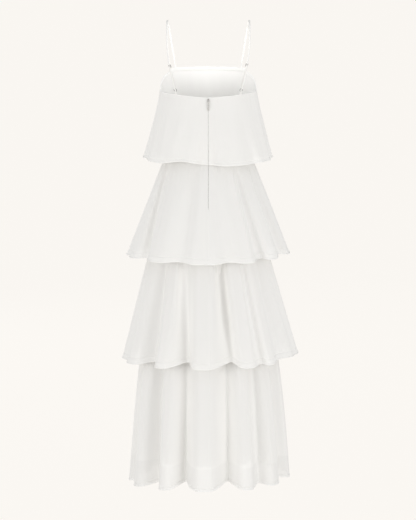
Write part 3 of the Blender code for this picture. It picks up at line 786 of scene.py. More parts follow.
def over_zip(angles, height):
    """Room for the bodice's wall and, within a few centimetres of the centre back, the zip's tape."""
    x, y = body(angles, height)
    tape = np.where(y > 0, ZIP_ROOM / (1 + (x / ZIP_ROOM_REACH) ** 8), 0.0)
    return BODICE_CLOTH + GAP + tape


# %% How a tier hangs and folds


def hanging_heights(tier, smooth, angle, inward, share):
    """Heights of a tier's rows: a drop that is the third side to its cloth's length and its reach."""
    hem_x, hem_y = oval(angle, tier.half_width, tier.back, tier.front)
    reach = np.hypot(hem_x + tier.aside - smooth[:, 0], hem_y - smooth[:, 1])
    turn = np.radians(angle)
    side = (tier.left + tier.right) / 2 + (tier.left - tier.right) / 2 * np.sin(turn)
    length = side + (tier.middle - side) * np.cos(turn) ** 2
    drop = np.sqrt(length ** 2 - reach ** 2) - VALLEY_LIFT * inward
    return smooth[:, 2] - drop * share


def flared(tier, top, smooth, angle, inward, heights, share):
    """Loose cloth from a top ring: a power of the share opens it, another deepens its valleys.

    Each valley also leans to one side, which tucks it under the ridge before it.
    """
    hem_x, hem_y = oval(angle, tier.half_width, tier.back, tier.front)
    normal = outward(smooth[None])[0]
    fold = inward * share ** tier.folding
    opened = share ** tier.opening
    lean = tier.lean * inward * share ** 2
    x = top[:, 0] + (hem_x + tier.aside - smooth[:, 0]) * opened - normal[:, 0] * fold - normal[:, 1] * lean
    y = top[:, 1] + (hem_y - smooth[:, 1]) * opened - normal[:, 1] * fold + normal[:, 0] * lean
    return sheet_of(x, y, heights)


def fine_form(sheet, angles, share, grid, fine):
    """The cloth in the middle of its solid's wall, with its fine form added along the normal."""
    detail = creases(angles, share, fine.creases)
    detail += gathers(angles, share, fine.pleats, fine.pleat_size, fine.pleat_reach)
    detail += soft_waves(angles, share, fine.waves) * share
    detail += turned_hem(share, grid.length, grid.hem_depth)
    detail += seam_pinch(angles, share, fine.seams, fine.half_round, fine.seam_length)
    return sheet + outward(sheet) * (CLOTH / 2 + detail)[..., None]


# %% Tier 1, from the neckline
TIER_1 = Tier(0.1910, 0.0, 0.130, 0.172, 1.20, 1.5, None, None, None, 1.7, 0.0)
TIER_1_GRID = Grid(48, 14, 0.0080, 1.5, 0.21, 24)
# angle, height of the top tier's hem
TIER_1_HEM = (
    (-90.0, -0.4040),
    (-45.0, -0.4125),
    (-20.0, -0.4160),
    (0.0, -0.4145),
    (24.0, -0.4035),
    (48.0, -0.4115),
    (90.0, -0.4040),
    (135.0, -0.4140),
    (180.0, -0.4160),
    (225.0, -0.4140),
    (270.0, -0.4040),
)
# angle at the start, angle at the end, share of the length at the start and at the end, half
# width in degrees, depth
TIER_1_CREASES = (
    (-3.0, -8.0, 0.40, 1.5, 3.0, 0.0012),
    (3.5, 9.0, 0.35, 1.5, 3.0, 0.0012),
    (-14.0, -28.0, 0.20, 1.3, 7.0, 0.0022),
    (16.0, 34.0, 0.15, 1.3, 7.0, 0.0024),
    (60.0, 56.0, 0.10, 1.4, 6.0, 0.0030),
    (-58.0, -64.0, 0.15, 1.4, 6.0, 0.0026),
    (118.0, 128.0, 0.20, 1.4, 7.0, 0.0022),
    (160.0, 156.0, 0.25, 1.4, 7.0, 0.0024),
    (204.0, 209.0, 0.20, 1.4, 7.0, 0.0022),
    (246.0, 238.0, 0.15, 1.4, 7.0, 0.0024),
)
TIER_1_WAVES = (
    (7, 2.0, 0.6, 0.0010),
    (13, -3.0, 2.0, 0.0006),
    (29, 6.0, 4.0, 0.0002),
)
TIER_1_FINE = Fine(TIER_1_CREASES, 53, 0.0002, 0.10, TIER_1_WAVES, SIDE_SEAMS, 0.16, 0.21)
share = tier_rows(TIER_1_GRID)
angles_1 = fold_columns(TIER_1_FOLDS, TIER_1_GRID.steps)
depth, wave = fold_wave(TIER_1_FOLDS, angles_1, TIER_1.sharp)
top_height = neckline(angles_1)
top = sewn_round(angles_1, top_height, over_zip(angles_1, top_height))
table = np.array(TIER_1_HEM)
fall = curve_through((angles_1 + 90.0) % 360.0 - 90.0, table[:, 0], table[:, 1]) - top_height
tier_1 = flared(TIER_1, top, top, angles_1, depth * wave, top_height + fall * share, share)
tier_1_middle = fine_form(tier_1, angles_1, share, TIER_1_GRID, TIER_1_FINE)
tier_1_piece = grid_piece("tier_1", open_at_zip(tier_1_middle), chiffon)
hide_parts("tier_1_front", "tier_1_back_left", "tier_1_back_right")

# %% Tier 2, from just above the waist
TIER_2_ABOVE_WAIST = 0.001
# How far down the second tier the zip's slit runs, as a share of its length, how softly it closes,
# and how nearly.
ZIP_END_SHARE = 0.46
SLIT_FADE = 0.03
SLIT_CLOSES = 0.98
TIER_2 = Tier(0.2420, 0.0, 0.180, 0.180, 1.00, 0.8, 0.310, 0.317, 0.312, 1.7, 0.35)
TIER_2_GRID = Grid(60, 18, 0.0165, 1.3, 0.31, 24)
# angle of the valley at the hem, angle of the ridge after it, depth of the valley
TIER_2_FOLDS = (
    (-102.0, -84.0, 0.010),
    (-63.0, -53.0, 0.022),
    (-41.5, -30.0, 0.020),
    (-16.0, 4.0, 0.014),
    (24.0, 40.0, 0.014),
    (56.0, 70.0, 0.018),
    (80.0, 92.0, 0.008),
    (111.0, 127.0, 0.026),
    (146.0, 160.0, 0.018),
    (174.0, 188.0, 0.022),
    (203.0, 217.0, 0.020),
    (232.0, 247.0, 0.026),
)
TIER_2_CREASES = (
    (65.0, 52.0, -0.10, 1.25, 3.0, 0.0070),
    (17.0, 20.0, 0.05, 1.30, 5.0, 0.0045),
    (-8.0, -13.0, 0.20, 1.30, 5.0, 0.0050),
    (-35.0, -39.5, -0.10, 1.30, 3.6, 0.0075),
    (-60.0, -72.0, 0.10, 1.30, 4.0, 0.0030),
    (118.0, 122.0, 0.00, 1.25, 4.0, 0.0050),
    (153.0, 149.0, 0.10, 1.30, 4.6, 0.0044),
    (196.0, 199.0, 0.05, 1.25, 4.0, 0.0054),
    (240.0, 246.0, 0.00, 1.30, 4.6, 0.0046),
)
TIER_2_WAVES = (
    (8, 2.0, 1.6, 0.0012),
    (15, -3.0, 0.2, 0.0007),
    (31, 7.0, 3.0, 0.0002),
)
TIER_2_FINE = Fine(TIER_2_CREASES, 67, 0.0003, 0.08, TIER_2_WAVES, ALL_SEAMS, 0.20, 0.30)
share = tier_rows(TIER_2_GRID)
angles_2 = fold_columns(TIER_2_FOLDS, TIER_2_GRID.steps)
depth, wave = fold_wave(TIER_2_FOLDS, angles_2, TIER_2.sharp)
height = WAIST + TIER_2_ABOVE_WAIST
top = sewn_round(angles_2, height, over_zip(angles_2, height))
heights = hanging_heights(TIER_2, top, angles_2, depth * wave, share)
tier_2 = flared(TIER_2, top, top, angles_2, depth * wave, heights, share)
tier_2_middle = fine_form(tier_2, angles_2, share, TIER_2_GRID, TIER_2_FINE)
slit = 1.0 - SLIT_CLOSES * smooth_step((share - ZIP_END_SHARE) / SLIT_FADE)
tier_2_piece = grid_piece("tier_2", open_at_zip(tier_2_middle, slit), chiffon)
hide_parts("tier_2_front", "tier_2_back_left", "tier_2_back_right")

# %% Tier 3, from the slip
TIER_3 = Tier(0.2615, -0.004, 0.220, 0.215, 1.00, 0.8, 0.393, 0.410, 0.404, 1.8, 0.35)
TIER_3_GRID = Grid(74, 18, 0.0165, 1.3, 0.40, 24)
# angle of the valley at the hem, angle of the ridge after it, depth of the valley
TIER_3_FOLDS = (
    (-104.0, -83.0, 0.014),
    (-53.0, -44.0, 0.018),
    (-36.0, -27.0, 0.016),
    (-11.5, 5.0, 0.052),
    (21.0, 34.0, 0.050),
    (47.0, 65.0, 0.042),
    (79.0, 92.0, 0.012),
    (111.0, 127.0, 0.040),
    (143.0, 156.0, 0.035),
    (169.0, 181.0, 0.042),
    (193.0, 206.0, 0.035),
    (218.0, 230.0, 0.040),
    (241.0, 251.0, 0.030),
)
TIER_3_CREASES = (
    (-10.5, -11.5, -0.20, 1.05, 4.2, 0.0100),
    (8.0, 9.0, 0.15, 1.25, 4.0, 0.0016),
    (27.0, 22.0, -0.20, 1.10, 2.6, 0.0060),
    (40.0, 43.0, 0.20, 1.30, 3.0, 0.0016),
    (-48.0, -50.0, 0.10, 1.30, 3.0, 0.0028),
    (-33.0, -36.0, -0.10, 1.30, 2.8, 0.0036),
    (-70.0, -78.0, 0.15, 1.30, 4.4, 0.0036),
    (72.0, 74.0, 0.10, 1.30, 4.0, 0.0026),
    (133.0, 136.0, 0.10, 1.30, 4.0, 0.0036),
    (175.0, 173.0, 0.15, 1.30, 3.8, 0.0034),
    (236.0, 234.0, 0.10, 1.30, 3.8, 0.0030),
)
TIER_3_WAVES = (
    (9, 2.0, 0.9, 0.0012),
    (17, -3.0, 1.1, 0.0008),
    (37, 8.0, 2.5, 0.0002),
)
TIER_3_FINE = Fine(TIER_3_CREASES, 71, 0.0003, 0.07, TIER_3_WAVES, ALL_SEAMS, 0.22, 0.40)
share = tier_rows(TIER_3_GRID)
angles_3 = fold_columns(TIER_3_FOLDS, TIER_3_GRID.steps)
depth, wave = fold_wave(TIER_3_FOLDS, angles_3, TIER_3.sharp)
top = sewn_round(angles_3, TIER_3_SEAM, CLOTH + GAP)
heights = hanging_heights(TIER_3, top, angles_3, depth * wave, share)
tier_3 = flared(TIER_3, top, top, angles_3, depth * wave, heights, share)
tier_3_middle = fine_form(tier_3, angles_3, share, TIER_3_GRID, TIER_3_FINE)
tier_3_piece = grid_piece("tier_3", tier_3_middle, chiffon, round_columns=True)
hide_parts("tier_3_front", "tier_3_back_left", "tier_3_back_right")

# %% Tier 4, from the slip's folded ring
TIER_4_SEAM = -0.920
# Over this much height, where the slip ends behind the tier, the cloth turns a little darker: painted shade
# for the shaded inside of the dress seen through it.
PAINTED_SHADE_FADE = 0.005
TIER_4 = Tier(0.2410, -0.004, 0.218, 0.212, 0.58, 0.6, 0.447, 0.463, 0.449, 1.8, 0.0)
TIER_4_GRID = Grid(86, 16, 0.0080, 1.5, 0.45, 26)
TIER_4_CREASES = (
    (-8.0, -6.0, 0.20, 1.30, 3.4, 0.0012),
    (12.0, 11.0, 0.15, 1.30, 3.0, 0.0014),
    (43.0, 43.0, 0.15, 1.30, 2.8, 0.0020),
    (-36.0, -35.0, 0.10, 1.30, 2.6, 0.0024),
    (-57.0, -58.0, 0.15, 1.30, 3.0, 0.0020),
    (73.0, 72.0, 0.20, 1.30, 3.4, 0.0022),
    (135.0, 133.0, 0.15, 1.30, 3.4, 0.0024),
    (186.0, 188.0, 0.20, 1.30, 3.4, 0.0024),
    (235.0, 233.0, 0.15, 1.30, 3.0, 0.0022),
)
TIER_4_WAVES = (
    (9, 2.0, 2.9, 0.0014),
    (19, -3.0, 0.1, 0.0008),
    (41, 8.0, 1.5, 0.0002),
)
TIER_4_FINE = Fine(TIER_4_CREASES, 73, 0.0003, 0.06, TIER_4_WAVES, ALL_SEAMS, 0.22, 0.45)
share = tier_rows(TIER_4_GRID)
angles_4 = fold_columns(TIER_4_FOLDS, TIER_4_GRID.steps)
depth, wave = fold_wave(TIER_4_FOLDS, angles_4, TIER_4.sharp)
smooth = sheet_of(*body(angles_4, TIER_4_SEAM), TIER_4_SEAM)
normal = outward(smooth[None])[0]
inward = SLIP_FOLD_SHARE * depth * wave * slip_folding(TIER_4_SEAM)
ring = smooth - normal * inward[:, None]
top = ring + outward(ring[None])[0] * (CLOTH + GAP)
smooth = smooth + normal * (CLOTH + GAP)
heights = hanging_heights(TIER_4, smooth, angles_4, depth * wave, share)
tier_4 = flared(TIER_4, top, smooth, angles_4, depth * wave - inward, heights, share)
tier_4_middle = fine_form(tier_4, angles_4, share, TIER_4_GRID, TIER_4_FINE)
tier_4_piece = grid_piece("tier_4", tier_4_middle, chiffon, round_columns=True)
# Painted shade mask: 1 where the bottom tier hangs below the slip's hem with no lining behind it.
lining_ends = np.interp(angles_4, slip_angles, slip_middle[-1, :, 2], period=360.0)
unlined_painted_shade = smooth_step((lining_ends - tier_4_middle[..., 2]) / PAINTED_SHADE_FADE + 0.5)
unlined_painted_shade_data = tier_4_piece.data.attributes.new("unlined_painted_shade", "FLOAT", "POINT").data
unlined_painted_shade_data.foreach_set("value", unlined_painted_shade.astype(np.float32).ravel())
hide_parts("tier_4_front", "tier_4_back_left", "tier_4_back_right")

# %% [markdown]
# ## Hems, bindings and their stitches
#
# Chiffon frays, so its edges are turned up and sewn: by a centimetre and a half on the middle tiers
# and half that on the others. The cloth's lower edge is a thick fold that catches the light as a
# pale line. It is a flattened oval carried along the cloth's last row. The stitches that hold the
# turning are small spindles of thread at even distances, all computed at once.

# %% An edge roll


def resample(path, spacing):
    """Points along a line at even distances, and the line's direction at each."""
    run = arc_length(path, 0)
    count = max(int(run[-1] / spacing), 2)
    at = (np.arange(count) + 0.5) * run[-1] / count
    points = np.stack([np.interp(at, run, path[:, k]) for k in range(3)], axis=1)
    slope = np.gradient(points, axis=0)
    return points, slope / np.linalg.norm(slope, axis=1, keepdims=True)


ROLL_SIDES = 10


def edge_roll(name, path, out, half_out, half_up, finish, closed=True):
    """An oval section carried along an edge: half_out to each side of it and half_up above and below."""
    turn = np.linspace(0.0, 2 * math.pi, ROLL_SIDES, endpoint=False)
    up = np.array((0.0, 0.0, 1.0))
    section = np.cos(turn)[:, None, None] * half_out * out[None]
    section = section + np.sin(turn)[:, None, None] * half_up * up
    points = (path[None] + section).transpose(1, 0, 2)
    piece = grid_piece(name, points, finish, round_columns=True, round_rows=closed, ends=not closed)
    return piece


# %% A row of stitches
STITCH = 0.0024
STITCH_GAP = 0.0008
STITCH_THREAD = 0.0004
# A spindle's corners: 0 and 5 are its ends, 1 to 4 its waist.
SPINDLE_FACES = ((0, 1, 2), (0, 2, 3), (0, 3, 4), (0, 4, 1), (5, 2, 1), (5, 3, 2), (5, 4, 3), (5, 1, 4))
SPINDLE_UV = ((0.0, 0.0), (0.001, 0.0), (0.0, 0.001))


def stitch_row(name, path, out):
    """A row of stitches: each is a spindle with two points along the line and four round its waist."""
    centre, along = resample(path, STITCH + STITCH_GAP)
    at = arc_length(centre, 0)
    run = arc_length(path, 0)
    lift = np.stack([np.interp(at, run, out[:, k]) for k in range(3)], axis=1)
    lift /= np.linalg.norm(lift, axis=1, keepdims=True)
    side = np.cross(along, lift)
    half = STITCH_THREAD / 2
    end = along * STITCH / 2
    spindle = np.stack([end, lift * half, side * half, -lift * half, -side * half, -end], axis=1)
    points = centre[:, None] + spindle
    faces = (np.arange(len(centre))[:, None, None] * 6 + np.array(SPINDLE_FACES)[None]).reshape(-1, 3)
    mesh = bpy.data.meshes.new(name)
    mesh.from_pydata(points.reshape(-1, 3), [], faces)
    mesh.shade_smooth()
    flat = np.tile(np.array(SPINDLE_UV), (len(faces), 1))
    mesh.uv_layers.new(name="cloth").data.foreach_set("uv", flat.astype(np.float32).ravel())
    mesh.materials.append(thread)
    piece = bpy.data.objects.new(name, mesh)
    bpy.context.scene.collection.objects.link(piece)
    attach(piece, "root")
    print(f"{name}: {len(centre)} stitches")
    return piece


# %% The hems of the tiers and the slip
HEM_HALF_HEIGHT = 0.0017
HEM_HALF_THICKNESS = 0.0008
SLIP_HEM_DEPTH = 0.0100
# How far a hem's edge lies above the cloth's last row, in half heights.
HEM_EDGE_UP = 0.6


def hem_of(name, sheet, finish, depth, closed=True):
    """A turned hem's edge along the last row of a cloth, and its stitches at their depth above it."""
    out = outward(sheet)[-1]
    edge = sheet[-1] + np.array((0.0, 0.0, HEM_HALF_HEIGHT * HEM_EDGE_UP))
    above = arc_length(sheet[::-1], 0).mean(axis=1)
    sewn = len(sheet) - 1 - int(np.searchsorted(above, depth))
    line = sheet[sewn] + outward(sheet)[sewn] * STITCH_THREAD / 2
    if not closed:
        edge = open_at_zip(edge[None])[0]
        line = open_at_zip(line[None])[0]
        out = np.concatenate([out, out[:1]])
    roll = edge_roll(f"{name}_hem", edge, out, HEM_HALF_THICKNESS, HEM_HALF_HEIGHT, finish, closed)
    row = stitch_row(f"{name}_hem_stitches", line, out)
    return [roll, row]


hems = {
    "tier_1": hem_of("tier_1", tier_1_middle, chiffon_hem, TIER_1_GRID.hem_depth, closed=False),
    "tier_2": hem_of("tier_2", tier_2_middle, chiffon_hem, TIER_2_GRID.hem_depth),
    "tier_3": hem_of("tier_3", tier_3_middle, chiffon_hem, TIER_3_GRID.hem_depth),
    "tier_4": hem_of("tier_4", tier_4_middle, chiffon_hem, TIER_4_GRID.hem_depth),
    "slip": hem_of("slip", slip_middle, lining, SLIP_HEM_DEPTH),
}

# %% The neckline's rolled edge
ROLL_HALF_THICKNESS = 0.0015
ROLL_HALF_HEIGHT = 0.0010
out = outward(bodice)[0]
seat = bodice[0] + out * (BODICE_CLOTH + GAP + CLOTH) / 2
neck_path = open_at_zip(seat[None])[0]
neck_out = np.concatenate([out, out[:1]])
neck_roll = edge_roll(
    "neck_edge", neck_path, neck_out, ROLL_HALF_THICKNESS, ROLL_HALF_HEIGHT, chiffon_hem, closed=False)

# %% The neckline's facing and the stitches that hold it
FACING = 0.0110
FACING_CLOTH = 0.0003
FACING_LIFT = 0.0002
FACING_STITCH_DEPTH = 0.0004
NECK_STITCH_ROW = 3
facing_heights = neckline(bodice_angles) - FACING * rows_down(7)
inner = sheet_of(*body(bodice_angles[None], facing_heights), facing_heights)
facing = grid_piece("neck_facing", open_at_zip(inner + outward(inner) * FACING_LIFT), lining)
thick = facing.modifiers.new("thickness", "SOLIDIFY")
thick.thickness = FACING_CLOTH
thick.offset = -1.0
facing_edge = open_at_zip(inner[-2:] - outward(inner)[-2:] * FACING_STITCH_DEPTH)[0]
facing_row = stitch_row("neck_facing_stitches", facing_edge, -neck_out)
tier_out = outward(tier_1_middle)[NECK_STITCH_ROW]
over_edge = open_at_zip((tier_1_middle[NECK_STITCH_ROW] + tier_out * CLOTH / 2)[None])[0]
neck_row = stitch_row("neck_stitches", over_edge, np.concatenate([tier_out, tier_out[:1]]))

# %% [markdown]
# ## The zip
#
# A concealed zip runs from the back neckline down under the top two tiers. Its slider and pull tab are the
# imported solids. Its tape is two woven strips, and between them lie the teeth, small blocks set to the left
# and to the right in turn. The strips lie on the outside of the bodice and then pass to the inside of the
# second tier, where the solid tape lies.

# %% The tape's two strips
TAPE_HALF_WIDTH = 0.0100
TAPE_EDGE = 0.0011
TAPE_END_SHARE = 0.50
TAPE_ROWS_BELOW = int(np.count_nonzero(tier_rows(TIER_2_GRID) < TAPE_END_SHARE))
TAPE_SEARCH = 0.05
TAPE_COLUMNS = 8
TAPE_CLOTH = ZIP_TAPE * 0.6


def near_back(sheet, x):
    """Each row of a closed sheet at the distances x from the centre back line."""
    middle = sheet[:, (sheet[0, :, 1] > 0) & (abs(sheet[0, :, 0]) < TAPE_SEARCH)]
    order = np.argsort(middle[0, :, 0])
    return np.array([sheet_of(x, np.interp(x, row[:, 0], row[:, 1]), np.interp(x, row[:, 0], row[:, 2]))
                     for row in middle[:, order]])


def tape_surface(x):
    """The tape's middle at distances x from the centre back, row by row down the dress."""
    over = near_back(bodice[:-1], x)
    over[..., 1] += BODICE_CLOTH + GAP + ZIP_TAPE / 2
    under = near_back(tier_2[:TAPE_ROWS_BELOW], x)
    under[..., 1] -= GAP + ZIP_TAPE / 2
    return np.concatenate([over, under])


tapes = []
for side, sign in (("left", 1), ("right", -1)):
    across = np.linspace(TAPE_EDGE, TAPE_HALF_WIDTH, TAPE_COLUMNS) * sign
    strip = tape_surface(np.sort(across))
    tape = grid_piece(f"zip_tape_{side}", strip, tape_cloth)
    thick = tape.modifiers.new("thickness", "SOLIDIFY")
    thick.thickness = TAPE_CLOTH
    thick.offset = 0.0
    tapes.append(tape)
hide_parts("zip_tape")

# %% The teeth
TOOTH_PITCH = 0.0014
TOOTH_SHIFT = 0.0005
TOOTH_HALF_SIZE = (0.0009, 0.00038, 0.00040)
TOOTH_BEVEL = 0.0001
BOX_FACES = ((0, 1, 3, 2), (4, 6, 7, 5), (0, 4, 5, 1), (2, 3, 7, 6), (0, 2, 6, 4), (1, 5, 7, 3))
rail = tape_surface(np.array((-0.0001, 0.0, 0.0001)))[:, 1]
centre, along = resample(rail, TOOTH_PITCH)
side_way = np.where(np.arange(len(centre)) % 2 == 0, 1.0, -1.0)
shift = side_way[:, None] * np.array((TOOTH_SHIFT, 0.0, 0.0))
corner = np.array([(x, y, z) for x in (-1, 1) for y in (-1, 1) for z in (-1, 1)], float)
points = (centre + shift)[:, None] + (corner * np.array(TOOTH_HALF_SIZE))[None]
faces = (np.arange(len(centre))[:, None, None] * 8 + np.array(BOX_FACES)).reshape(-1, 4)
mesh = bpy.data.meshes.new("zip_teeth")
mesh.from_pydata(points.reshape(-1, 3), [], faces)
teeth = bpy.data.objects.new("zip_teeth", mesh)
bpy.context.scene.collection.objects.link(teeth)
edges = teeth.modifiers.new("edges", "BEVEL")
edges.width = TOOTH_BEVEL
mesh.materials.append(nickel)
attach(teeth, "root")
print("zip teeth:", len(centre))

# %% [markdown]
# ## The straps
#
# Each shoulder strap is a flat tube of cloth half a centimetre wide. It rises from the front
# neckline, crosses the shoulder, goes through its slider, round its ring, and back up to the
# slider's middle bar, so it is double between the ring and the slider. A short loop of the same
# cloth holds the ring to the back neckline. A rounded flat section is carried along the route.

# %% The route of a strap
STRAP_WIDTH = 0.0050
STRAP_CLOTH = 0.0010
STRAP_FRONT_ANGLE = 136.5
STRAP_ROUTE = (
    (0.1057, -0.0700, -0.0900),
    (0.1133, -0.0500, -0.0400),
    (0.1179, -0.0250, -0.0105),
    (0.1194, 0.0000, -0.0005),
    (0.1202, 0.0220, -0.0060),
    (0.1206, 0.0420, -0.0290),
    (0.1203, 0.0590, -0.0580),
    (0.1180, 0.0740, -0.0930),
)
STRAP_SIDES = (("left", 1, -0.1287), ("right", -1, -0.1252))
SLIDER_X = 0.1117
SLIDER_Y = 0.0835
# place up from the slider's middle, place outward
WEAVE_DOWN = ((0.0085, -0.0008), (0.0052, -0.0012), (0.0034, -0.0012), (0.0008, 0.0012),
              (-0.0008, 0.0012), (-0.0034, -0.0012), (-0.0052, -0.0012))
WEAVE_BACK_UP = ((-0.0056, -0.0026), (-0.0034, -0.0026), (-0.0008, -0.0012), (0.0004, -0.0012))
RING_ANGLE = 41.4
RING_ABOVE_NECK = 0.0145
RING_RADIUS = 0.0044
RING_WIRE = 0.0007
RING_SAG = RING_RADIUS - math.sqrt(RING_RADIUS ** 2 - (STRAP_WIDTH / 2) ** 2)
STRAP_TURN = RING_WIRE + GAP + STRAP_CLOTH / 2
LOOP_LEG_OUT = (BODICE_CLOTH + GAP) / 2
LOOP_END = 0.0011
LOOP_STRAIGHT = 0.0040


# %% Directions and turns along a strap


def unit(vector):
    """The vector at length one."""
    return vector / np.linalg.norm(vector)


def neck_seat(angle):
    """Middle of the two cloths at the neckline, and the level direction along it."""
    height = neckline(angle)
    before = np.array(body(angle - 0.5, height))
    after = np.array(body(angle + 0.5, height))
    along = unit(np.append(after - before, 0.0))
    out = np.array((-along[1], along[0], 0.0))
    return np.append((before + after) / 2, height) + out * (BODICE_CLOTH + GAP + CLOTH) / 2, along


def turn_round_wire(up, way):
    """Half a turn round the ring's wire at a height up: way 1 goes over it and -1 under it."""
    turns = np.linspace(0.0, math.pi, 7)
    return list(zip(up + way * STRAP_TURN * np.sin(turns), STRAP_TURN * np.cos(turns)))


# %% A band of cloth along a route
BAND_STEP = 0.0009
BAND_SIDES = 16


def band(name, middle, across, sign):
    """A flat tube of cloth: a rounded section carried along its middle, which is first made smooth.

    The section's width follows a cosine to the power 0.5 and its height a sine to the power 0.7,
    so its faces are nearly flat and its edges round.
    """
    run = arc_length(middle, 0)
    at = np.linspace(0.0, run[-1], max(int(run[-1] / BAND_STEP), 24))
    middle = np.stack([curve_through(at, run, middle[:, k]) for k in range(3)], axis=1)
    across = np.stack([np.interp(at, run, across[:, k]) for k in range(3)], axis=1)
    along = np.gradient(middle, axis=0)
    along /= np.linalg.norm(along, axis=1, keepdims=True)
    across = across - along * (across * along).sum(axis=1, keepdims=True)
    across /= np.linalg.norm(across, axis=1, keepdims=True)
    out = np.cross(across, along)
    turn = np.linspace(0.0, 2 * math.pi, BAND_SIDES, endpoint=False)
    flat = np.sign(np.cos(turn)) * abs(np.cos(turn)) ** 0.5 * STRAP_WIDTH / 2
    high = np.sign(np.sin(turn)) * abs(np.sin(turn)) ** 0.7 * STRAP_CLOTH / 2
    points = middle[:, None] + across[:, None] * flat[None, :, None] + out[:, None] * high[None, :, None]
    points = points * np.array((sign, 1.0, 1.0))
    piece = grid_piece(name, points[:, ::sign], strap_cloth, round_columns=True, ends=True)
    return piece


# %% The straps, their loops and the rings
# Across the shoulder a strap's width lies along X. It turns there from the neckline's direction
# over its first five points, and on to the slider's over the next four.
SIDEWAYS = np.array((1.0, 0.0, 0.0))
RING_STEPS = 64
RING_SIDES = 16
for side, sign, slider_height in STRAP_SIDES:
    seat, along = neck_seat(RING_ANGLE)
    slider = np.array((SLIDER_X, SLIDER_Y, slider_height))
    up = unit(slider - seat)
    across = unit(along - up * (along @ up))
    out = np.cross(across, up)
    ring = seat + up * RING_ABOVE_NECK
    rise = np.linalg.norm(slider - ring)

    def placed(pairs, base=0.0):
        return [ring + up * (base + u) + out * n for u, n in pairs]

    front, front_along = neck_seat(STRAP_FRONT_ANGLE)
    route = [front + np.array((0.0, 0.0, GAP)), *np.array(STRAP_ROUTE), *placed(WEAVE_DOWN, rise)]
    route += placed(turn_round_wire(RING_RADIUS - RING_SAG, -1)) + placed(WEAVE_BACK_UP, rise)
    ways = np.tile(across, (len(route), 1))
    ways[:5] = np.linspace(-front_along, SIDEWAYS, 5)
    ways[5:9] = np.linspace(SIDEWAYS, across, 6)[1:5]
    strap = band(f"strap_{side}_cloth", np.array(route), ways, sign)
    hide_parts(f"strap_{side}")
    end = LOOP_END - RING_ABOVE_NECK
    straight = LOOP_STRAIGHT - RING_ABOVE_NECK
    legs = placed([(end, LOOP_LEG_OUT), (straight, LOOP_LEG_OUT)])
    legs += placed(turn_round_wire(RING_SAG - RING_RADIUS, 1))
    legs += placed([(straight, -LOOP_LEG_OUT), (end, -LOOP_LEG_OUT)])
    loop = band(f"strap_loop_{side}_cloth", np.array(legs), np.tile(across, (len(legs), 1)), sign)
    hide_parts(f"strap_loop_{side}")
    circle = np.linspace(0.0, 2 * math.pi, RING_STEPS, endpoint=False)[:, None, None]
    wire = np.linspace(0.0, 2 * math.pi, RING_SIDES, endpoint=False)[None, :, None]
    spoke = across * np.cos(circle) + up * np.sin(circle)
    hoop = (ring + spoke * (RING_RADIUS + RING_WIRE * np.cos(wire)) + out * RING_WIRE * np.sin(wire))
    hoop = hoop * np.array((sign, 1.0, 1.0))
    hoop = hoop[:, ::-sign]
    hoop_piece = grid_piece(f"ring_{side}_wire", hoop, nickel, round_columns=True, round_rows=True)
    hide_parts(f"ring_{side}")

# %% [markdown]
# ## What each cloth was cut to
#
# How big each sheet of cloth was before it was sewn is measured here on its own grid and printed. A tier is
# cut as a ring of flared panels: its length from seam to hem, and its hem's length all round with every fold
# opened out. The area is less than their product, because the seam is shorter than the hem.


def cut_of(sheet):
    """(hem all round, length, area) of a closed sheet's cloth, measured on its own grid."""
    ring = np.concatenate([sheet, sheet[:, :1]], axis=1)
    rounds = arc_length(ring, 1)[:, -1]
    length = arc_length(sheet, 0)[-1].mean()
    a, b, c, d = ring[:-1, :-1], ring[:-1, 1:], ring[1:, 1:], ring[1:, :-1]
    halves = (np.cross(b - a, c - a), np.cross(c - a, d - a))
    area = sum(np.linalg.norm(half, axis=-1) for half in halves).sum() / 2
    return float(rounds.max()), float(length), float(area)


# piece, its computed cloth, how it is held, what holds it, what is sewn on it
SHEETS = (
    (bodice_piece, bodice_middle, "hung", ["strap_left", "strap_right"], [neck_roll]),
    (slip_piece, slip_middle, "hung", ["bodice"], hems["slip"]),
    (tier_1_piece, tier_1_middle, "gathered", ["bodice"], hems["tier_1"] + [neck_row]),
    (tier_2_piece, tier_2_middle, "gathered", ["bodice"], hems["tier_2"]),
    (tier_3_piece, tier_3_middle, "gathered", ["slip"], hems["tier_3"]),
    (tier_4_piece, tier_4_middle, "gathered", ["slip"], hems["tier_4"]),
    (facing, inner, "folded", ["bodice"], [facing_row]),
)
for piece, sheet, held, rests_on, with_pieces in SHEETS:
    hem, length, area = cut_of(sheet)
    print(f"{piece.name}: cut {hem:.3f} m round by {length:.3f} m, {area:.3f} square metres")
for tape in tapes:
    length = float(arc_length(rail, 0)[-1])

# %% [markdown]
# ## Floor, light and camera
#
# The dress is seen against a plain warm white with no hard shadow. A large pale floor well below
# the hem fills the view. It gives off light, as a lit studio floor does, and how bright it looks is
# set apart from how much light it gives. The sky is a white room: bright walls and a dimmer
# ceiling. Two wide low lamps stand beside the camera and a weaker one fills in from the front of
# the dress. Two very small ones light the lining that shows through the open neck. The camera
# stands behind the dress and looks down at it by about nine degrees through a long lens.

# %% The floor
FLOOR_HEIGHT = -1.80
FLOOR_REACH = 80.0
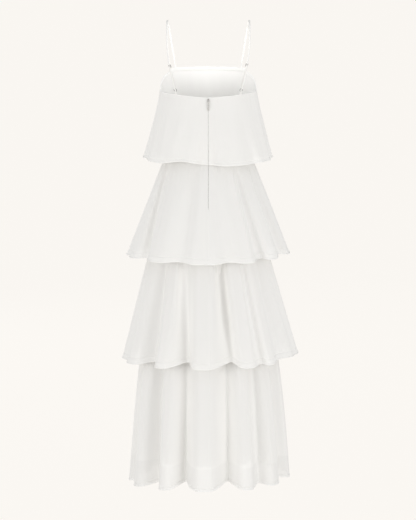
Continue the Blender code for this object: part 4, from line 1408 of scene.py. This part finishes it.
# How bright the floor looks, and how much light it gives the dress.
FLOOR_SEEN = 0.915
FLOOR_LIGHT = 0.64
floor_finish = bpy.data.materials.new("pale floor")
floor_finish.use_nodes = True
shader = floor_finish.node_tree.nodes["Principled BSDF"]
shader.inputs["Base Color"].default_value = (0.060, 0.058, 0.055, 1.0)
shader.inputs["Roughness"].default_value = 1.0
shader.inputs["Specular IOR Level"].default_value = 0.0
shader.inputs["Emission Color"].default_value = (1.0, 0.970, 0.928, 1.0)
seen = floor_finish.node_tree.nodes.new("ShaderNodeLightPath")
camera_ray = seen.outputs["Is Camera Ray"]
glow = maths(floor_finish.node_tree, "MULTIPLY_ADD", camera_ray, FLOOR_SEEN - FLOOR_LIGHT, FLOOR_LIGHT)
floor_finish.node_tree.links.new(glow, shader.inputs["Emission Strength"])
around = ((-1, -1), (1, -1), (1, 1), (-1, 1))
floor_corners = [(x * FLOOR_REACH, y * FLOOR_REACH, FLOOR_HEIGHT) for x, y in around]
mesh = bpy.data.meshes.new("floor")
mesh.from_pydata(floor_corners, [], [(0, 1, 2, 3)])
mesh.materials.append(floor_finish)
floor = bpy.data.objects.new("floor", mesh)
bpy.context.scene.collection.objects.link(floor)
print("floor at", FLOOR_HEIGHT, "m")

# %% The white room round it
WALL_LIGHT = 0.90
CEILING_LIGHT = 0.54
# How sharply the walls dim towards the ceiling.
WALL_POWER = 2.0
world = bpy.data.worlds.new("studio")
world.use_nodes = True
sky = world.node_tree.nodes["Background"]
sky.inputs["Color"].default_value = (0.990, 0.995, 1.0, 1.0)
split = world.node_tree.nodes.new("ShaderNodeSeparateXYZ")
direction = world.node_tree.nodes.new("ShaderNodeTexCoord")
world.node_tree.links.new(direction.outputs["Generated"], split.inputs[0])
low = maths(world.node_tree, "SUBTRACT", 1.0, maths(world.node_tree, "ABSOLUTE", split.outputs["Z"]))
level = maths(world.node_tree, "POWER", low, WALL_POWER)
walls = maths(world.node_tree, "MULTIPLY_ADD", level, WALL_LIGHT - CEILING_LIGHT, CEILING_LIGHT)
world.node_tree.links.new(walls, sky.inputs["Strength"])
bpy.context.scene.world = world

# %% The lamps


def look_at(thing, place, target):
    """Put a lamp or camera at a place, turned to a target."""
    thing.location = place
    thing.rotation_euler = (Vector(target) - Vector(place)).to_track_quat("-Z", "Y").to_euler()


# name, size, power in watts, place, target
LAMPS = (
    ("lamp right of the camera", 3.0, 110.0, (-4.4, 4.6, -0.5), (0.0, 0.0, -0.7)),
    ("lamp left of the camera", 3.0, 100.0, (4.4, 4.6, -0.5), (0.0, 0.0, -0.7)),
    ("lamp at the front", 3.0, 45.0, (1.5, -5.0, 1.0), (0.0, 0.0, -0.7)),
    ("lamp over the neck", 0.18, 0.150, (0.0, 0.08, -0.03), (0.0, -0.11, -0.26)),
    ("lamp in the bodice", 0.12, 0.038, (0.0, 0.03, -0.34), (0.0, -0.11, -0.24)),
)
for name, size, power, place, target in LAMPS:
    light = bpy.data.lights.new(name, "AREA")
    light.size = size
    light.energy = power
    lamp = bpy.data.objects.new(name, light)
    lamp.visible_camera = False
    bpy.context.scene.collection.objects.link(lamp)
    look_at(lamp, place, target)
print("lamps:", [lamp[0] for lamp in LAMPS])

# %% The camera
FOCAL_PIXELS = 2500.0
IMAGE_HEIGHT = 520
SHIFT_PIXELS = -0.3
CAMERA_PLACE = (0.0, 7.3376, 0.4252)
CAMERA_TARGET = (0.0, 0.0, -0.7107)
SENSOR = 36.0
camera_data = bpy.data.cameras.new("camera")
camera_data.sensor_width = SENSOR
camera_data.lens = FOCAL_PIXELS / IMAGE_HEIGHT * SENSOR
camera_data.shift_x = SHIFT_PIXELS / IMAGE_HEIGHT
camera = bpy.data.objects.new("camera", camera_data)
bpy.context.scene.collection.objects.link(camera)
look_at(camera, CAMERA_PLACE, CAMERA_TARGET)
bpy.context.scene.camera = camera
bpy.context.scene.view_settings.view_transform = "Standard"
print("lens", round(camera_data.lens, 2), "mm")
